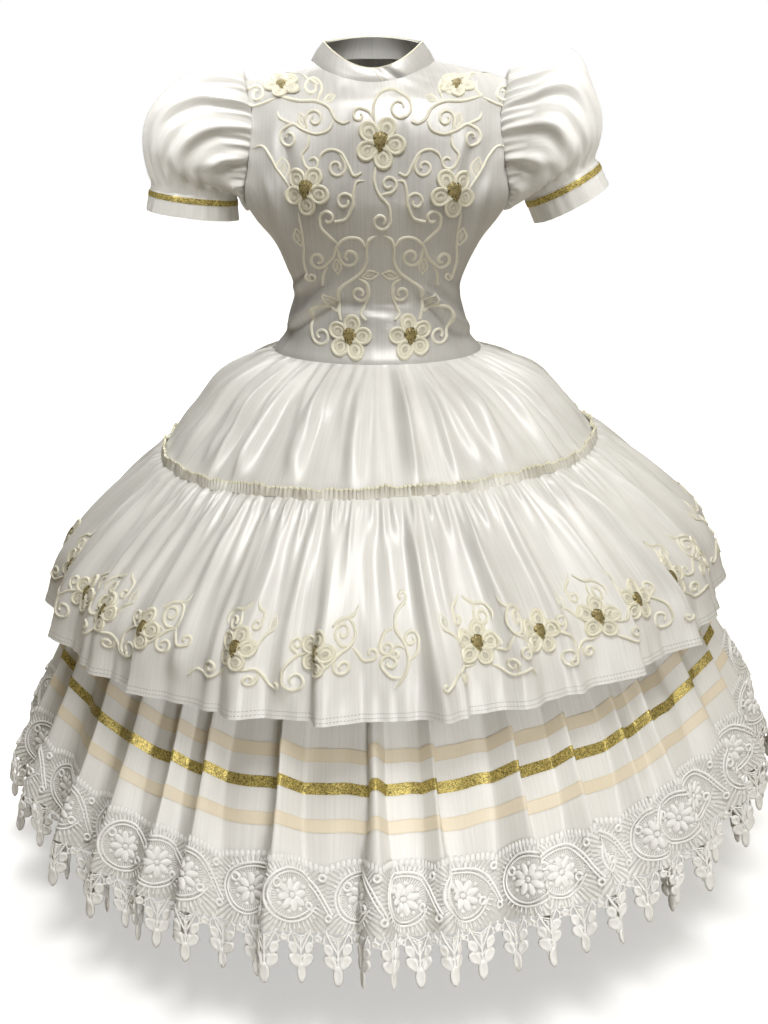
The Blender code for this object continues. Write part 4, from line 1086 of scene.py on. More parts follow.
@dataclass
class Workshop:
    """Makes pieces and puts them on the dress."""

    threads: bpy.types.NodeTree
    finishes: dict[str, bpy.types.Material] = field(default_factory=dict)
    triangles: int = 0

    def finish(self, kind: ClothFinish) -> bpy.types.Material:
        """A finish's material, made once."""
        if kind.name not in self.finishes:
            self.finishes[kind.name] = kind.make(self.threads)
        return self.finishes[kind.name]

    def piece(
        self, name: str, points: Grid, faces: list[Grid], corners: Grid, kind: ClothFinish,
        nodes: tuple[str, ...] = (), wall: float = 0.0,
    ) -> bpy.types.Object:
        """A mesh that rides on the dress.

        Args:
            name: The piece's name.
            points: Its points.
            faces: Arrays of faces, each with its own number of corners.
            corners: UV of every corner of the faces, in order, in metres of cloth.
            kind: Its finish.
            nodes: The solids that it stands for.
            wall: The thickness given to an open sheet, inwards.

        Returns:
            The object.
        """
        mesh = bpy.data.meshes.new(name)
        listed = [face for group in faces for face in group.tolist()]
        mesh.from_pydata(points.reshape(-1, 3).tolist(), [], listed)
        layer = mesh.uv_layers.new(name="cloth")
        layer.data.foreach_set("uv", corners.astype(np.float32).ravel())
        mesh.shade_smooth()
        mesh.materials.append(self.finish(kind))
        obj = bpy.data.objects.new(name, mesh)
        bpy.context.scene.collection.objects.link(obj)
        if wall:
            uses = np.zeros(len(mesh.loops), np.int32)
            mesh.loops.foreach_get("edge_index", uses)
            rim = np.bincount(uses, minlength=len(mesh.edges)) == 1
            mesh.attributes.new("sharp_edge", "BOOLEAN", "EDGE").data.foreach_set("value", rim)
            solid = obj.modifiers.new("wall", "SOLIDIFY")
            solid.thickness = wall
            solid.offset = -1.0
        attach(obj, "root")
        if nodes:
            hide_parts(*nodes)
        count = sum((group.shape[1] - 2) * len(group) for group in faces) * (2 if wall else 1)
        self.triangles += count
        log.info("%s: %d triangles", name, count)
        return obj

    def sheet(
        self, name: str, cloth: Cloth, u: Grid, v: Grid, kind: ClothFinish,
        nodes: tuple[str, ...] | None = None, closed: bool = False, wall: float = 0.0008,
        lift: float = 0.0, keep: Grid | None = None, points: Grid | None = None, flip: bool = False,
        plotted: Grid | None = None, held: Held | None = None, rests_on: tuple[str, ...] = (),
        trims: tuple[bpy.types.Object, ...] = (),
    ) -> bpy.types.Object:
        """A grid of a cloth over two rising lists of parameters, UV in metres along the cloth.

        Its cut is the length over its gathers and folds, across and along, with the area of what is kept.

        Args:
            name: The piece's name.
            cloth: Its surface.
            u: Parameters across; on a closed ring the last one is left out.
            v: Parameters along.
            kind: Its finish.
            nodes: The solids that it stands for; None for the one of its own name.
            closed: True for a ring.
            wall: Thickness.
            lift: Height over the surface.
            keep: Mask of the cells to keep.
            points: The grid's points, where they were moved.
            flip: True where the grid's order would turn the faces inwards.
            plotted: The grid's UV, where it isn't the length along the cloth.
            held: How the cloth is held; None for a trim of another cloth.
            rests_on: The solids it is sewn to or lies on; not used.
            trims: Pieces that go with it; not used.

        Returns:
            The object.
        """
        grid_u, grid_v = np.meshgrid(u, v)
        if points is None:
            points = cloth.lifted(grid_u, grid_v, lift) if lift else cloth.point(grid_u, grid_v)
        rows, columns = grid_u.shape
        ring = np.concatenate([points, points[:, :1]], axis=1) if closed else points
        across, along = mean_run(ring, 1), mean_run(ring, 0)
        row, column = cells(rows - 1, columns if closed else columns - 1)
        if keep is not None:
            chosen = keep[row, column]
            row, column = row[chosen], column[chosen]
        order = ((0, 0), (0, 1), (1, 1), (1, 0))
        if flip:
            order = order[::-1]
        faces = np.stack([(row + r) * columns + (column + c) % columns for r, c in order], axis=1)
        uv = np.stack([np.stack([across[column + c], along[row + r]], axis=1) for r, c in order], axis=1)
        if plotted is not None:
            uv = np.stack([plotted[row + r, column + c] for r, c in order], axis=1)
        used, numbered = np.unique(faces, return_inverse=True)
        flat, faces = points.reshape(-1, 3)[used], numbered.reshape(faces.shape)
        nodes = (name,) if nodes is None else nodes
        made = self.piece(f"{name}_cloth", flat, [faces], uv.reshape(-1, 2), kind, nodes, wall)
        if held:
            corners = flat[faces]
            crossed = np.cross(corners[:, 2] - corners[:, 0], corners[:, 3] - corners[:, 1])
            area = 0.5 * float(np.linalg.norm(crossed, axis=1).sum())
            spans = (across[-1], along[-1]) if keep is None else np.ptp(uv, axis=(0, 1))
            cut = tuple(round(max(float(span), 0.01), 3) for span in spans)
            log.info("%s: cut %.3f by %.3f m, %.4f square metres", name, *cut, area)
            area = min(area, cut[0] * cut[1])
        return made

    def strewn(
        self, name: str, plan: RingPlan, pattern: Pattern, places: Grid, kind: ClothFinish,
        stretch: float = 1.0, moved: Triple = (0.0, 0.0, 0.0),
    ) -> None:
        """A pattern laid at several places of a ring, as one piece.

        Args:
            name: The piece's name.
            plan: The ring.
            pattern: What is laid.
            places: Lengths along the ring.
            kind: Its finish.
            stretch: How much it is widened.
            moved: What is added to its points of (across, up, height) before.
        """
        points, faces, uv = pattern.merged()
        laid = plan.lay(points + np.array(moved), places, stretch)
        groups, corners = repeat(faces, uv, len(points), len(places))
        self.piece(name, laid, groups, corners, kind)


# Finishes of this dress

IVORY, IVORY_SHADE = (0.86, 0.852, 0.822), (0.68, 0.668, 0.64)
SATIN = ClothFinish("satin", Slot.SATIN, IVORY, IVORY_SHADE)
# Painted shade: the same ivory satin, darker, for the bodice and the collar.
SATIN_BODICE_PAINTED_SHADE = ClothFinish(
    "satin_bodice_painted_shade", Slot.SATIN, (0.72, 0.71, 0.685), (0.53, 0.52, 0.502), 0.38, 0.22, bump=0.35
)
# Painted light: the same ivory satin, lighter, for the underskirt, which hangs in the flounce's shade.
SATIN_UNDER_PAINTED_LIGHT = ClothFinish(
    "satin_under_painted_light", Slot.SATIN, (0.88, 0.87, 0.842), (0.73, 0.715, 0.68), 0.38
)
# Its two stitch rows are real; they are drawn darker, as painted shade in their grooves.
SATIN_HEM = ClothFinish("satin_hem", Slot.SATIN, IVORY, IVORY_SHADE, stitch=(0.0035, 0.008))
# The dips between its satin stitches are drawn darker, as painted shade.
THREAD = ClothFinish(
    "thread", Slot.THREAD, (0.985, 0.97, 0.86), (0.84, 0.8, 0.64), 0.42,
    sheen=0.3, bump=0.6, across=900.0, along=900.0, stripe=0.0011,
)
# Its rounds of stitches and the dips between its satin stitches are drawn darker, as painted shade.
PETAL = ClothFinish(
    "petal", Slot.THREAD, (0.985, 0.965, 0.85), (0.8, 0.755, 0.58), 0.45,
    sheen=0.3, bump=0.7, across=900.0, along=500.0, stitch=(0.0026, 0.0061), line=0.0006, stripe=0.0016,
)
# Its bright flakes are painted glints.
GLITTER = ClothFinish(
    "glitter", Slot.THREAD, (0.38, 0.31, 0.13), (0.08, 0.062, 0.02), 0.42, 0.35,
    sheen=0.0, bump=0.9, across=700.0, along=700.0, glitter=620.0,
)
# Painted light and shade: near-white and dark brown streaks along the frill stand for the lit and shaded
# sides of its gathers.
FRILL_PAINTED_LIGHT_AND_SHADE = ClothFinish(
    "frill", Slot.SATIN, (0.99, 0.98, 0.92), (0.4, 0.365, 0.27), 0.42, bump=0.5, across=420.0, along=20.0
)
EDGING = ClothFinish(
    "edging", Slot.EDGING, (0.97, 0.95, 0.78), (0.86, 0.82, 0.6), 0.5, bump=0.4, across=2600.0, along=300.0
)
# Its bright flakes are painted glints.
GOLD = ClothFinish(
    "gold", Slot.GOLD, (0.58, 0.47, 0.15), (0.27, 0.21, 0.05), 0.38, 0.5,
    sheen=0.0, bump=0.7, across=600.0, along=600.0, glitter=950.0,
)
PEACH = ClothFinish(
    "peach", Slot.PEACH, (0.86, 0.775, 0.62), (0.77, 0.675, 0.51), 0.42,
    across=2600.0, along=60.0, border=(0.0138, 0.0012),
)
LACE = ClothFinish(
    "lace", Slot.LACE, (0.985, 0.98, 0.965), (0.9, 0.89, 0.865), 0.85,
    sheen=0.3, bump=0.8, across=900.0, along=900.0,
)
# Its holes are drawn in the darker tone, as painted shade.
NET = ClothFinish(
    "net", Slot.LACE, (0.965, 0.96, 0.94), (0.6, 0.59, 0.56), 0.85,
    sheen=0.3, bump=0.5, across=900.0, along=900.0, net=360.0,
)

BODICE_CREASES = (
    Crease((-0.106, -0.296), (-0.036, -0.234), 0.0062, 0.009),
    Crease((-0.076, -0.23), (-0.108, -0.262), 0.005, 0.004),
    Crease((0.05, -0.242), (0.13, -0.322), 0.0065, 0.0085),
    Crease((0.076, -0.234), (0.106, -0.268), 0.005, 0.0036),
    Crease((-0.05, -0.262), (0.058, -0.268), 0.011, -0.0034),
    Crease((-0.02, -0.276), (0.03, -0.282), 0.006, 0.0016),
    Crease((-0.104, -0.078), (-0.09, -0.19), 0.01, -0.0034),
    Crease((-0.124, -0.12), (-0.1, -0.215), 0.008, 0.0026),
    Crease((0.108, -0.08), (0.098, -0.19), 0.01, -0.0034),
    Crease((0.128, -0.12), (0.106, -0.215), 0.008, 0.0026),
    Crease((-0.022, -0.05), (-0.03, -0.15), 0.008, 0.0014),
    Crease((0.034, -0.045), (0.04, -0.13), 0.008, 0.0014),
)
SLEEVE_LEFT = (
    Ring(0.1685, -0.085, 8.7, 0.0759, 0.056),
    Ring(0.1915, -0.086, 27.6, 0.072, 0.063),
    Ring(0.2105, -0.098, 44.7, 0.0675, 0.065),
    Ring(0.218, -0.1128, 59.9, 0.0613, 0.063),
)
SLEEVE_RIGHT = (
    Ring(0.1715, -0.081, 10.4, 0.0803, 0.057),
    Ring(0.1945, -0.08, 22.5, 0.0823, 0.064),
    Ring(0.2095, -0.0948, 35.2, 0.072, 0.066),
    Ring(0.2158, -0.1095, 47.2, 0.061, 0.063),
)
CUFF_LEFT = (Ring(0.2165, -0.138, 83.0, 0.0504, 0.05), Ring(0.22, -0.168, 83.0, 0.0545, 0.054))
CUFF_RIGHT = (Ring(0.2145, -0.1226, 62.0, 0.0465, 0.053), Ring(0.2318, -0.1552, 62.0, 0.048, 0.0547))
SLEEVE_CREASES = (
    Crease((1.00, 0.02), (0.75, 0.58), 0.075, 0.006),
    Crease((1.35, 0.02), (1.45, 0.66), 0.085, 0.006),
    Crease((1.75, 0.02), (1.95, 0.5), 0.07, 0.006),
    Crease((2.15, 0.02), (2.45, 0.44), 0.08, 0.005),
    Crease((0.62, 0.02), (0.35, 0.46), 0.08, 0.005),
    Crease((0.28, 0.02), (0.1, 0.36), 0.06, 0.0035),
    Crease((0.05, 0.02), (-0.1, 0.45), 0.1, 0.0035),
    Crease((-0.6, 0.02), (-0.8, 0.5), 0.1, 0.0045),
    Crease((-1.4, 0.02), (-1.3, 0.55), 0.1, 0.005),
    Crease((-2.2, 0.02), (-2.00, 0.45), 0.1, 0.0045),
    Crease((1.1, 0.8), (1.35, 0.44), 0.09, -0.0035),
    Crease((1.6, 0.82), (1.2, 0.55), 0.08, 0.0035),
    Crease((0.3, 0.8), (0.6, 0.5), 0.11, -0.003),
    Crease((2.1, 0.8), (1.8, 0.56), 0.09, -0.003),
)


@dataclass
class BodiceMaker:
    """The bodice's panels, cut from one grid whose columns follow the seams."""

    shop: Workshop
    cloth: BodiceCloth = field(default_factory=lambda: BodiceCloth(creases=BODICE_CREASES))
    columns: int = 256
    rows: int = 80
    seam: float = 0.35

    def build(self) -> None:
        """Cuts the bodice's grid into panels along its seams, round the armholes."""
        v = np.linspace(BODICE_SECTIONS[0].z - 0.0022, BODICE_SECTIONS[-1].z, self.rows)
        u = np.linspace(-1.0, 1.0, self.columns + 1)
        points = self.cloth.point(self.bent(u, v), np.repeat(v[:, None], len(u), axis=1))
        cut = self.armholes(points)
        middle_v, middle_u = (v[:-1] + v[1:]) / 2, (u[:-1] + u[1:]) / 2
        side, right = np.abs(middle_u)[None, :], middle_u[None, :] > 0
        low = middle_v[:, None] < SIDE_PANEL_TOP
        seam = np.where(low, self.seam, 0.5)
        back = 1.0 - seam
        beside = (side >= seam) & (side < back) & low
        panels = {
            "bodice_front": side < seam,
            "bodice_side_left": beside & ~right,
            "bodice_side_right": beside & right,
            "bodice_back_left": (side >= back) & ~right,
            "bodice_back_right": (side >= back) & right,
        }
        run = np.linalg.norm(np.diff(points, axis=1), axis=2)
        arc = np.concatenate([np.zeros((len(v), 1)), np.cumsum(run, axis=1)], axis=1)
        rise = np.broadcast_to(mean_run(points, 0)[:, None], arc.shape)
        for name, chosen in panels.items():
            columns = np.flatnonzero(chosen.any(axis=0))
            middles = {"front": self.columns // 2, "back": 0 if columns[0] == 0 else -1}
            middle = middles.get(name.split("_")[1], (columns[0] + columns[-1]) // 2)
            self.shop.sheet(
                name, self.cloth, u, v, SATIN_BODICE_PAINTED_SHADE, keep=chosen & ~cut, points=points,
                plotted=np.stack([arc - arc[:, [middle]], rise], axis=-1), held=Held.STRETCHED,
                rests_on=tuple(other for other in panels if other != name),
            )

    def bent(self, u: Grid, v: Grid) -> Grid:
        """Angles for u from -1 to 1, from the centre back round to it, at heights v."""
        angle = np.radians(self.cloth.read("seam_angle", v))[:, None]
        share = np.abs(u)[None, :]
        front = share / self.seam * angle
        side = angle + (share - self.seam) / (1 - 2 * self.seam) * (math.pi - 2 * angle)
        back = math.pi - (1.0 - share) / self.seam * angle
        return np.sign(u)[None, :] * np.where(
            share < self.seam, front, np.where(share < 1 - self.seam, side, back)
        )

    def armholes(self, points: Grid) -> Grid:
        """The cells that the armholes cut away; the points round them move to the armholes' edge."""
        height, half_height, half_depth = ARMHOLE
        radius = np.hypot((points[..., 2] - height) / half_height, points[..., 1] / half_depth)
        inside = (radius < 0.985) & (np.abs(points[..., 0]) > ARMHOLE_INNER)
        cut = inside[:-1, :-1] | inside[1:, :-1] | inside[:-1, 1:] | inside[1:, 1:]
        near = np.zeros_like(inside)
        for r, c in ((0, 0), (0, 1), (1, 0), (1, 1)):
            near[r : r + cut.shape[0], c : c + cut.shape[1]] |= cut
        scale = np.where(near & ~inside, 1.0 / radius, 1.0)
        points[..., 1] *= scale
        points[..., 2] = height + (points[..., 2] - height) * scale
        return cut


@dataclass
class CollarCloth(Cloth):
    """One half of the stand collar: u is the angle, and v runs 0 at its base to 1."""

    step_inwards: float
    crease: float

    step_v = 0.01

    def point(self, u: Grid, v: Grid) -> Grid:
        """A wall between the neck's outline and the collar's top, whose lower end steps inwards."""
        low, top = astuple(BODICE_SECTIONS[-1]), astuple(COLLAR_TOP)
        mixed = Section(*(a + (b - a) * v for a, b in zip(low, top)))
        sine, cosine = np.sin(u), np.cos(u)
        bulge = 0.0012 * np.sin(math.pi * v)
        x = (mixed.half_width + bulge) * sine + mixed.shift
        y = -np.where(cosine > 0, mixed.front, mixed.back) * cosine - bulge * cosine
        z = mixed.z + np.where(cosine > 0, -mixed.front_dip, mixed.back_rise) * cosine**2
        degrees = np.degrees(u)
        y = y + self.step_inwards * np.clip((26.0 - degrees) / 16.0, 0.0, 1.0)
        fold = np.exp(-(((degrees - 24.0 + 14.0 * v) / 5.0) ** 2)) * self.crease
        return np.stack([x + sine * fold, y - cosine * fold, z + 0 * x], axis=-1)


def piping(path: Grid, radius: float, sides: int = 6) -> tuple[Grid, Grid, Grid]:
    """A round cord along a path in space, with closed ends.

    Args:
        path: Its points.
        radius: Its radius.
        sides: Faces round it.

    Returns:
        Points, faces, and UV per corner of the faces.
    """
    run = unit(np.gradient(path, axis=0))
    side = unit(np.cross(run, [0.0, 0.0, 1.0]))
    over = np.cross(side, run)
    turn = TAU * np.arange(sides) / sides
    size = np.full(len(path), radius)
    size[[0, -1]] = 0.02 * radius
    ring = side[:, None] * np.cos(turn)[None, :, None] + over[:, None] * np.sin(turn)[None, :, None]
    points = (path[:, None] + ring * size[:, None, None]).reshape(-1, 3)
    row, column = cells(len(path) - 1, sides)
    after, here, next_row = (column + 1) % sides, row * sides, (row + 1) * sides
    faces = np.stack([here + column, next_row + column, next_row + after, here + after], axis=1)
    uv = np.stack([turn[column] * radius, run_of(path)[row]], axis=1)
    corners = np.stack([uv, uv + [0.0, 0.001], uv + [0.001, 0.001], uv + [0.001, 0.0]], axis=1)
    return points, faces, corners.reshape(-1, 2)


@dataclass
class CollarMaker:
    """The two halves of the stand collar, whose ends cross at the centre front, with corded edges."""

    shop: Workshop

    def build(self) -> None:
        """Lays each half on a grid whose end runs askew from base to top."""
        for name, start, ends, step, crease in (
            ("collar_left", -179.97, (10.0, 0.0), 0.0, 0.0),
            ("collar_right", 179.97, (-2.0, -6.0), 0.0026, -0.003),
        ):
            cloth = CollarCloth(step, crease)
            share = np.linspace(0.0, 1.0, 72)
            v = np.linspace(0.0, 1.0, 14)
            end = ends[0] + (ends[1] - ends[0]) * v[:, None]
            angles = np.radians(start + (end - start) * share[None, :])
            if start > 0:
                angles = angles[:, ::-1]
            points = cloth.point(angles, np.repeat(v[:, None], 72, axis=1))
            end_line = points[::-1, -1] if start < 0 else points[::-1, 0]
            top_line = points[-1] if start < 0 else points[-1, ::-1]
            path = np.concatenate([top_line, end_line[1:]]) + [0.0, 0.0005, 0.0]
            tube, faces, corners = piping(path, 0.0009)
            edge = self.shop.piece(f"{name}_edge", tube, [faces], corners, EDGING)
            self.shop.sheet(
                name, cloth, share, v, SATIN_BODICE_PAINTED_SHADE, wall=0.0018, points=points,
                held=Held.STRETCHED, rests_on=("bodice_front",), trims=(edge,),
            )


@dataclass
class SleeveMaker:
    """One puffed sleeve with its cuff and the gold ribbon round the cuff."""

    shop: Workshop
    side: int
    name: str
    rings: tuple[Ring, ...]
    cuff: tuple[Ring, Ring]
    peak: float

    def build(self) -> None:
        """Closed rings from the armhole to the cuff's edge."""
        gathered = SleeveCloth(self.side, self.rings, self.cuff, SLEEVE_CREASES, self.peak)
        straight = CuffCloth(self.side, self.cuff)
        sleeve, cuff, ribbon = (f"{stem}_{self.name}" for stem in ("sleeve", "cuff", "cuff_ribbon"))
        turned = {"closed": True, "flip": self.side < 0}
        u = np.linspace(0.0, TAU, 368, endpoint=False)
        self.shop.sheet(
            sleeve, gathered, u, np.linspace(0.0, 1.0, 46), SATIN, **turned,
            held=Held.GATHERED, rests_on=("bodice_front", f"bodice_back_{self.name}"),
        )
        u = np.linspace(0.0, TAU, 128, endpoint=False)
        self.shop.sheet(
            cuff, straight, u, np.linspace(0.0, 1.0, 10), SATIN_HEM, **turned,
            wall=0.0012, held=Held.STRETCHED, rests_on=(sleeve,),
        )
        self.shop.sheet(
            ribbon, straight, u, np.linspace(0.24, 0.44, 5), GOLD, **turned,
            wall=0.0005, lift=0.0007 * self.side, held=Held.LAID, rests_on=(cuff,),
        )


TIER_GATHERS = (Gathers(62, 1.0, 0.0056, 0.0042, (0.03, 0.16)),)
FLOUNCE_GATHERS = (
    Gathers(250, 2.0, 0.0032, 0.002, (0.014, 0.055)),
    Gathers(104, 5.0, 0.0048, 0.0048, (0.045, 0.2)),
)
TIER_PLEATS = (
    Pleat((-58, -50), (0.004, 0.104), 0.012, 0.006),
    Pleat((-41, -36), (0.004, 0.104), 0.011, 0.006),
    Pleat((-27, -21), (0.004, 0.1), 0.01, 0.005),
    Pleat((-11, -8), (0.004, 0.085), 0.011, 0.004),
    Pleat((9, 12), (0.004, 0.104), 0.011, 0.005),
    Pleat((23, 29), (0.004, 0.104), 0.01, 0.0055),
    Pleat((38, 42), (0.004, 0.105), 0.011, 0.005),
    Pleat((55, 58), (0.004, 0.104), 0.012, 0.006),
)
FLOUNCE_PLEATS = (
    Pleat((-66, -70), (0.01, 0.215), 0.013, 0.0085),
    Pleat((-51, -52), (0.01, 0.215), 0.012, 0.008),
    Pleat((-42, -45), (0.01, 0.15), 0.011, 0.006),
    Pleat((-30, -31), (0.008, 0.16), 0.011, 0.006),
    Pleat((-24, -25), (0.01, 0.215), 0.01, 0.006),
    Pleat((-13, -14), (0.006, 0.17), 0.009, 0.006),
    Pleat((-3, -2), (0.006, 0.12), 0.01, 0.0045),
    Pleat((6.2, 7.6), (0.006, 0.24), 0.01, 0.012),
    Pleat((17, 19), (0.008, 0.15), 0.011, 0.006),
    Pleat((26, 28), (0.006, 0.215), 0.01, 0.007),
    Pleat((37, 38), (0.008, 0.16), 0.011, 0.0065),
    Pleat((48, 50), (0.01, 0.215), 0.012, 0.0085),
    Pleat((62, 66), (0.01, 0.215), 0.013, 0.009),
)
TIER_UNDERLAP, TIER_OVERLAP = 0.003, 0.0012
SATIN_BANDS = (
    ("ribbon_peach_upper", -0.659, -0.6714, PEACH),
    ("ribbon_gold", -0.6898, -0.7003, GOLD),
    ("ribbon_peach_lower", -0.7222, -0.7343, PEACH),
)


def halves(folds: FoldRing) -> tuple[tuple[str, float, float], ...]:
    """The column numbers of a skirt's back and front panel, from one side seam to the other."""
    right, left = folds.side_columns()
    count = 3 * folds.count
    if left < right:
        left += count
    return (("back", right, left), ("front", left, right + count))


@dataclass
class SkirtMaker:
    """The upper tier, the flounce, the frill over its seam, and the underskirt with its ribbons."""

    shop: Workshop
    tier: TierCloth = field(
        default_factory=lambda: TierCloth(TIER_LEVELS, FoldRing(26, 1.0), TIER_GATHERS, TIER_PLEATS)
    )
    flounce: TierCloth = field(
        default_factory=lambda: TierCloth(
            FLOUNCE_LEVELS, FoldRing(26, 2.0), FLOUNCE_GATHERS, FLOUNCE_PLEATS,
            hem=0.0007, overhang=0.02,
        )
    )
    under: UnderskirtCloth = field(
        default_factory=lambda: UnderskirtCloth(FoldRing(FOLD_COUNT, 3.0, 0.3, SEEN_FOLDS))
    )

    def build(self) -> None:
        """Lays every ring of cloth, from the waist down."""
        for stem, over, cloth, columns, rows, kind in (
            ("skirt_tier", "bodice", self.tier, 360, 30, SATIN),
            ("flounce", "skirt_tier", self.flounce, 650, 34, SATIN_HEM),
        ):
            low = cloth.levels[0].z - (0.0 if cloth.hem else TIER_UNDERLAP)
            top = cloth.levels[-1].z + TIER_OVERLAP
            share = np.linspace(0.0, 1.0, rows)
            v = low + (top - low) * (1.0 - (1.0 - share) ** 1.25)
            for half, first, last in halves(cloth.folds):
                name, sewn = f"{stem}_{half}", (f"{over}_{half}",)
                if name == "skirt_tier_back":
                    sewn = ("bodice_back_left", "bodice_back_right")
                u = np.linspace(first, last, columns)
                self.shop.sheet(name, cloth, u, v, kind, held=Held.GATHERED, rests_on=sewn)
        name, frill, u = "flounce_heading", FrillCloth(), np.linspace(0, TAU, 1650, endpoint=False)
        edge = self.shop.sheet(
            f"{name}_edge", frill, u, np.array([0.86, 1.02]), EDGING, (), closed=True,
            wall=0.0013, lift=0.0004,
        )
        self.shop.sheet(
            name, frill, u, np.linspace(-0.15, 1, 5), FRILL_PAINTED_LIGHT_AND_SHADE, closed=True, wall=0.0005,
            held=Held.GATHERED, rests_on=("flounce_front", "flounce_back"), trims=(edge,),
        )
        v = np.concatenate([
            np.linspace(HEM_Z + 0.001, -0.64, 20), np.linspace(-0.64, GATHER_Z, 6)[1:],
            np.linspace(GATHER_Z, UNDERSKIRT_TOP_Z, 3)[1:],
        ])
        for half, first, last in halves(self.under.folds):
            name = f"underskirt_{half}"
            nodes = (name, "underskirt_yoke") if half == "back" else (name,)
            u = np.linspace(first, last, 450)
            self.shop.sheet(
                name, self.under, u, v, SATIN_UNDER_PAINTED_LIGHT, nodes, held=Held.GATHERED, rests_on=("underskirt_yoke",)
            )
        u = np.linspace(0, 3 * FOLD_COUNT, 960, endpoint=False)
        for name, top, bottom, kind in SATIN_BANDS:
            self.shop.sheet(
                name, self.under, u, np.linspace(bottom, top, 3), kind, closed=True, wall=0.0004,
                lift=0.0006, held=Held.LAID, rests_on=("underskirt_front", "underskirt_back"),
            )


# Embroidery

CORD_HEIGHT, CORD_BASE = 0.002, -0.0001
CENTRE_LINE = 4.5
FRONT_SCROLLS = (
    Scroll(((-108, -36), (-85, -41), (-64, -42), (-51, -49), (-45, -59), (-36, -64), (-29, -62))),
    Scroll(((-65, -41), (-61, -32)), 11.2),
    Scroll(((-80, -11), (-77, -18), (-71, -20), (-64, -25))),
    Scroll(((-46, -60), (-51, -70), (-64, -75), (-80, -71), (-92, -65), (-101, -69)), 11.1),
    Scroll(((-75, -71), (-77, -62)), -9.8),
    Scroll(((-109, -52), (-107, -58), (-100, -62), (-92, -65))),
    Scroll(((-74, -75), (-75, -87), (-82, -97), (-79, -106)), 9.0, 0.9),
    Scroll(((-63, -103), (-60, -96), (-50, -91), (-39, -94), (-31, -106), (-23, -118), (-16, -115))),
    Scroll(((-41, -94), (-35, -103)), -10.6),
    Scroll(((-139, -91), (-129, -88), (-117, -99), (-110, -112), (-103, -123), (-96, -134)), width=2.6),
    Scroll(((-89, -158), (-85, -177), (-83, -194), (-84, -217), (-80, -234)), 5.3, width=2.6),
    Scroll(((-13, -123), (-21, -124), (-24, -132), (-26, -149), (-34, -164), (-46, -167))),
    Scroll(((-33, -163), (-26, -151)), 10.6),
    Scroll(((-43, -192), (-54, -182), (-62, -173), (-63, -165)), -9.0, 1.0),
    Scroll((
        (1, -182), (-7, -186), (-11, -197), (-11, -211), (-17, -224), (-29, -234), (-41, -244), (-45, -258),
        (-42, -281),
    )),
    Scroll(((-11, -197), (-19, -186), (-32, -185), (-43, -193), (-50, -208), (-59, -218)), -10.3),
    Scroll(((-44, -196), (-42, -208)), 11.5),
    Scroll(((-56, -219), (-61, -228), (-62, -242)), width=3.2),
    Scroll(((-21, -232), (-12, -237), (-9, -250), (-14, -264), (-18, -274), (-12, -280))),
    Scroll(((-12, -237), (-10, -247)), -10.0),
    Scroll(((-50, -271), (-59, -266), (-71, -270), (-78, -285), (-76, -301)), 11.1),
    Scroll(((-104, -20), (-103, -30), (-109, -36))),
    Scroll(((-110, -37), (-124, -43), (-139, -46), (-150, -41)), width=3.0),
    Scroll(((-150, -41), (-149, -31), (-138, -26)), -8.8, width=3.0),
)
CENTRE_SCROLLS = (
    Scroll(((-1, -64), (-3, -48), (4, -33), (18, -29), (31, -35)), -14.0),
    Scroll(((-4, -59), (-8, -52), (-15, -49)), 7.8, 1.0),
    Scroll(((0, -106), (-2, -123), (3, -137), (14, -150), (16, -164)), -10.8),
    Scroll(((4, -138), (15, -136)), 9.6),
)
FRONT_LEAVES = (
    ((-58, -41), (-45, -35)), ((-79, -69), (-84, -53)), ((-103, -122), (-106, -99)),
    ((-86, -197), (-92, -176)), ((-46, -209), (-44, -228)), ((-17, -230), (3, -226)),
    ((-47, -272), (-58, -251)),
)


@dataclass(frozen=True)
class Flower:
    """A stitched flower on the bodice: place as seen straight ahead, width, turn and stand."""

    name: str
    x: float
    z: float
    width: float
    turn: float
    stand: float
    squash: float = 1.0


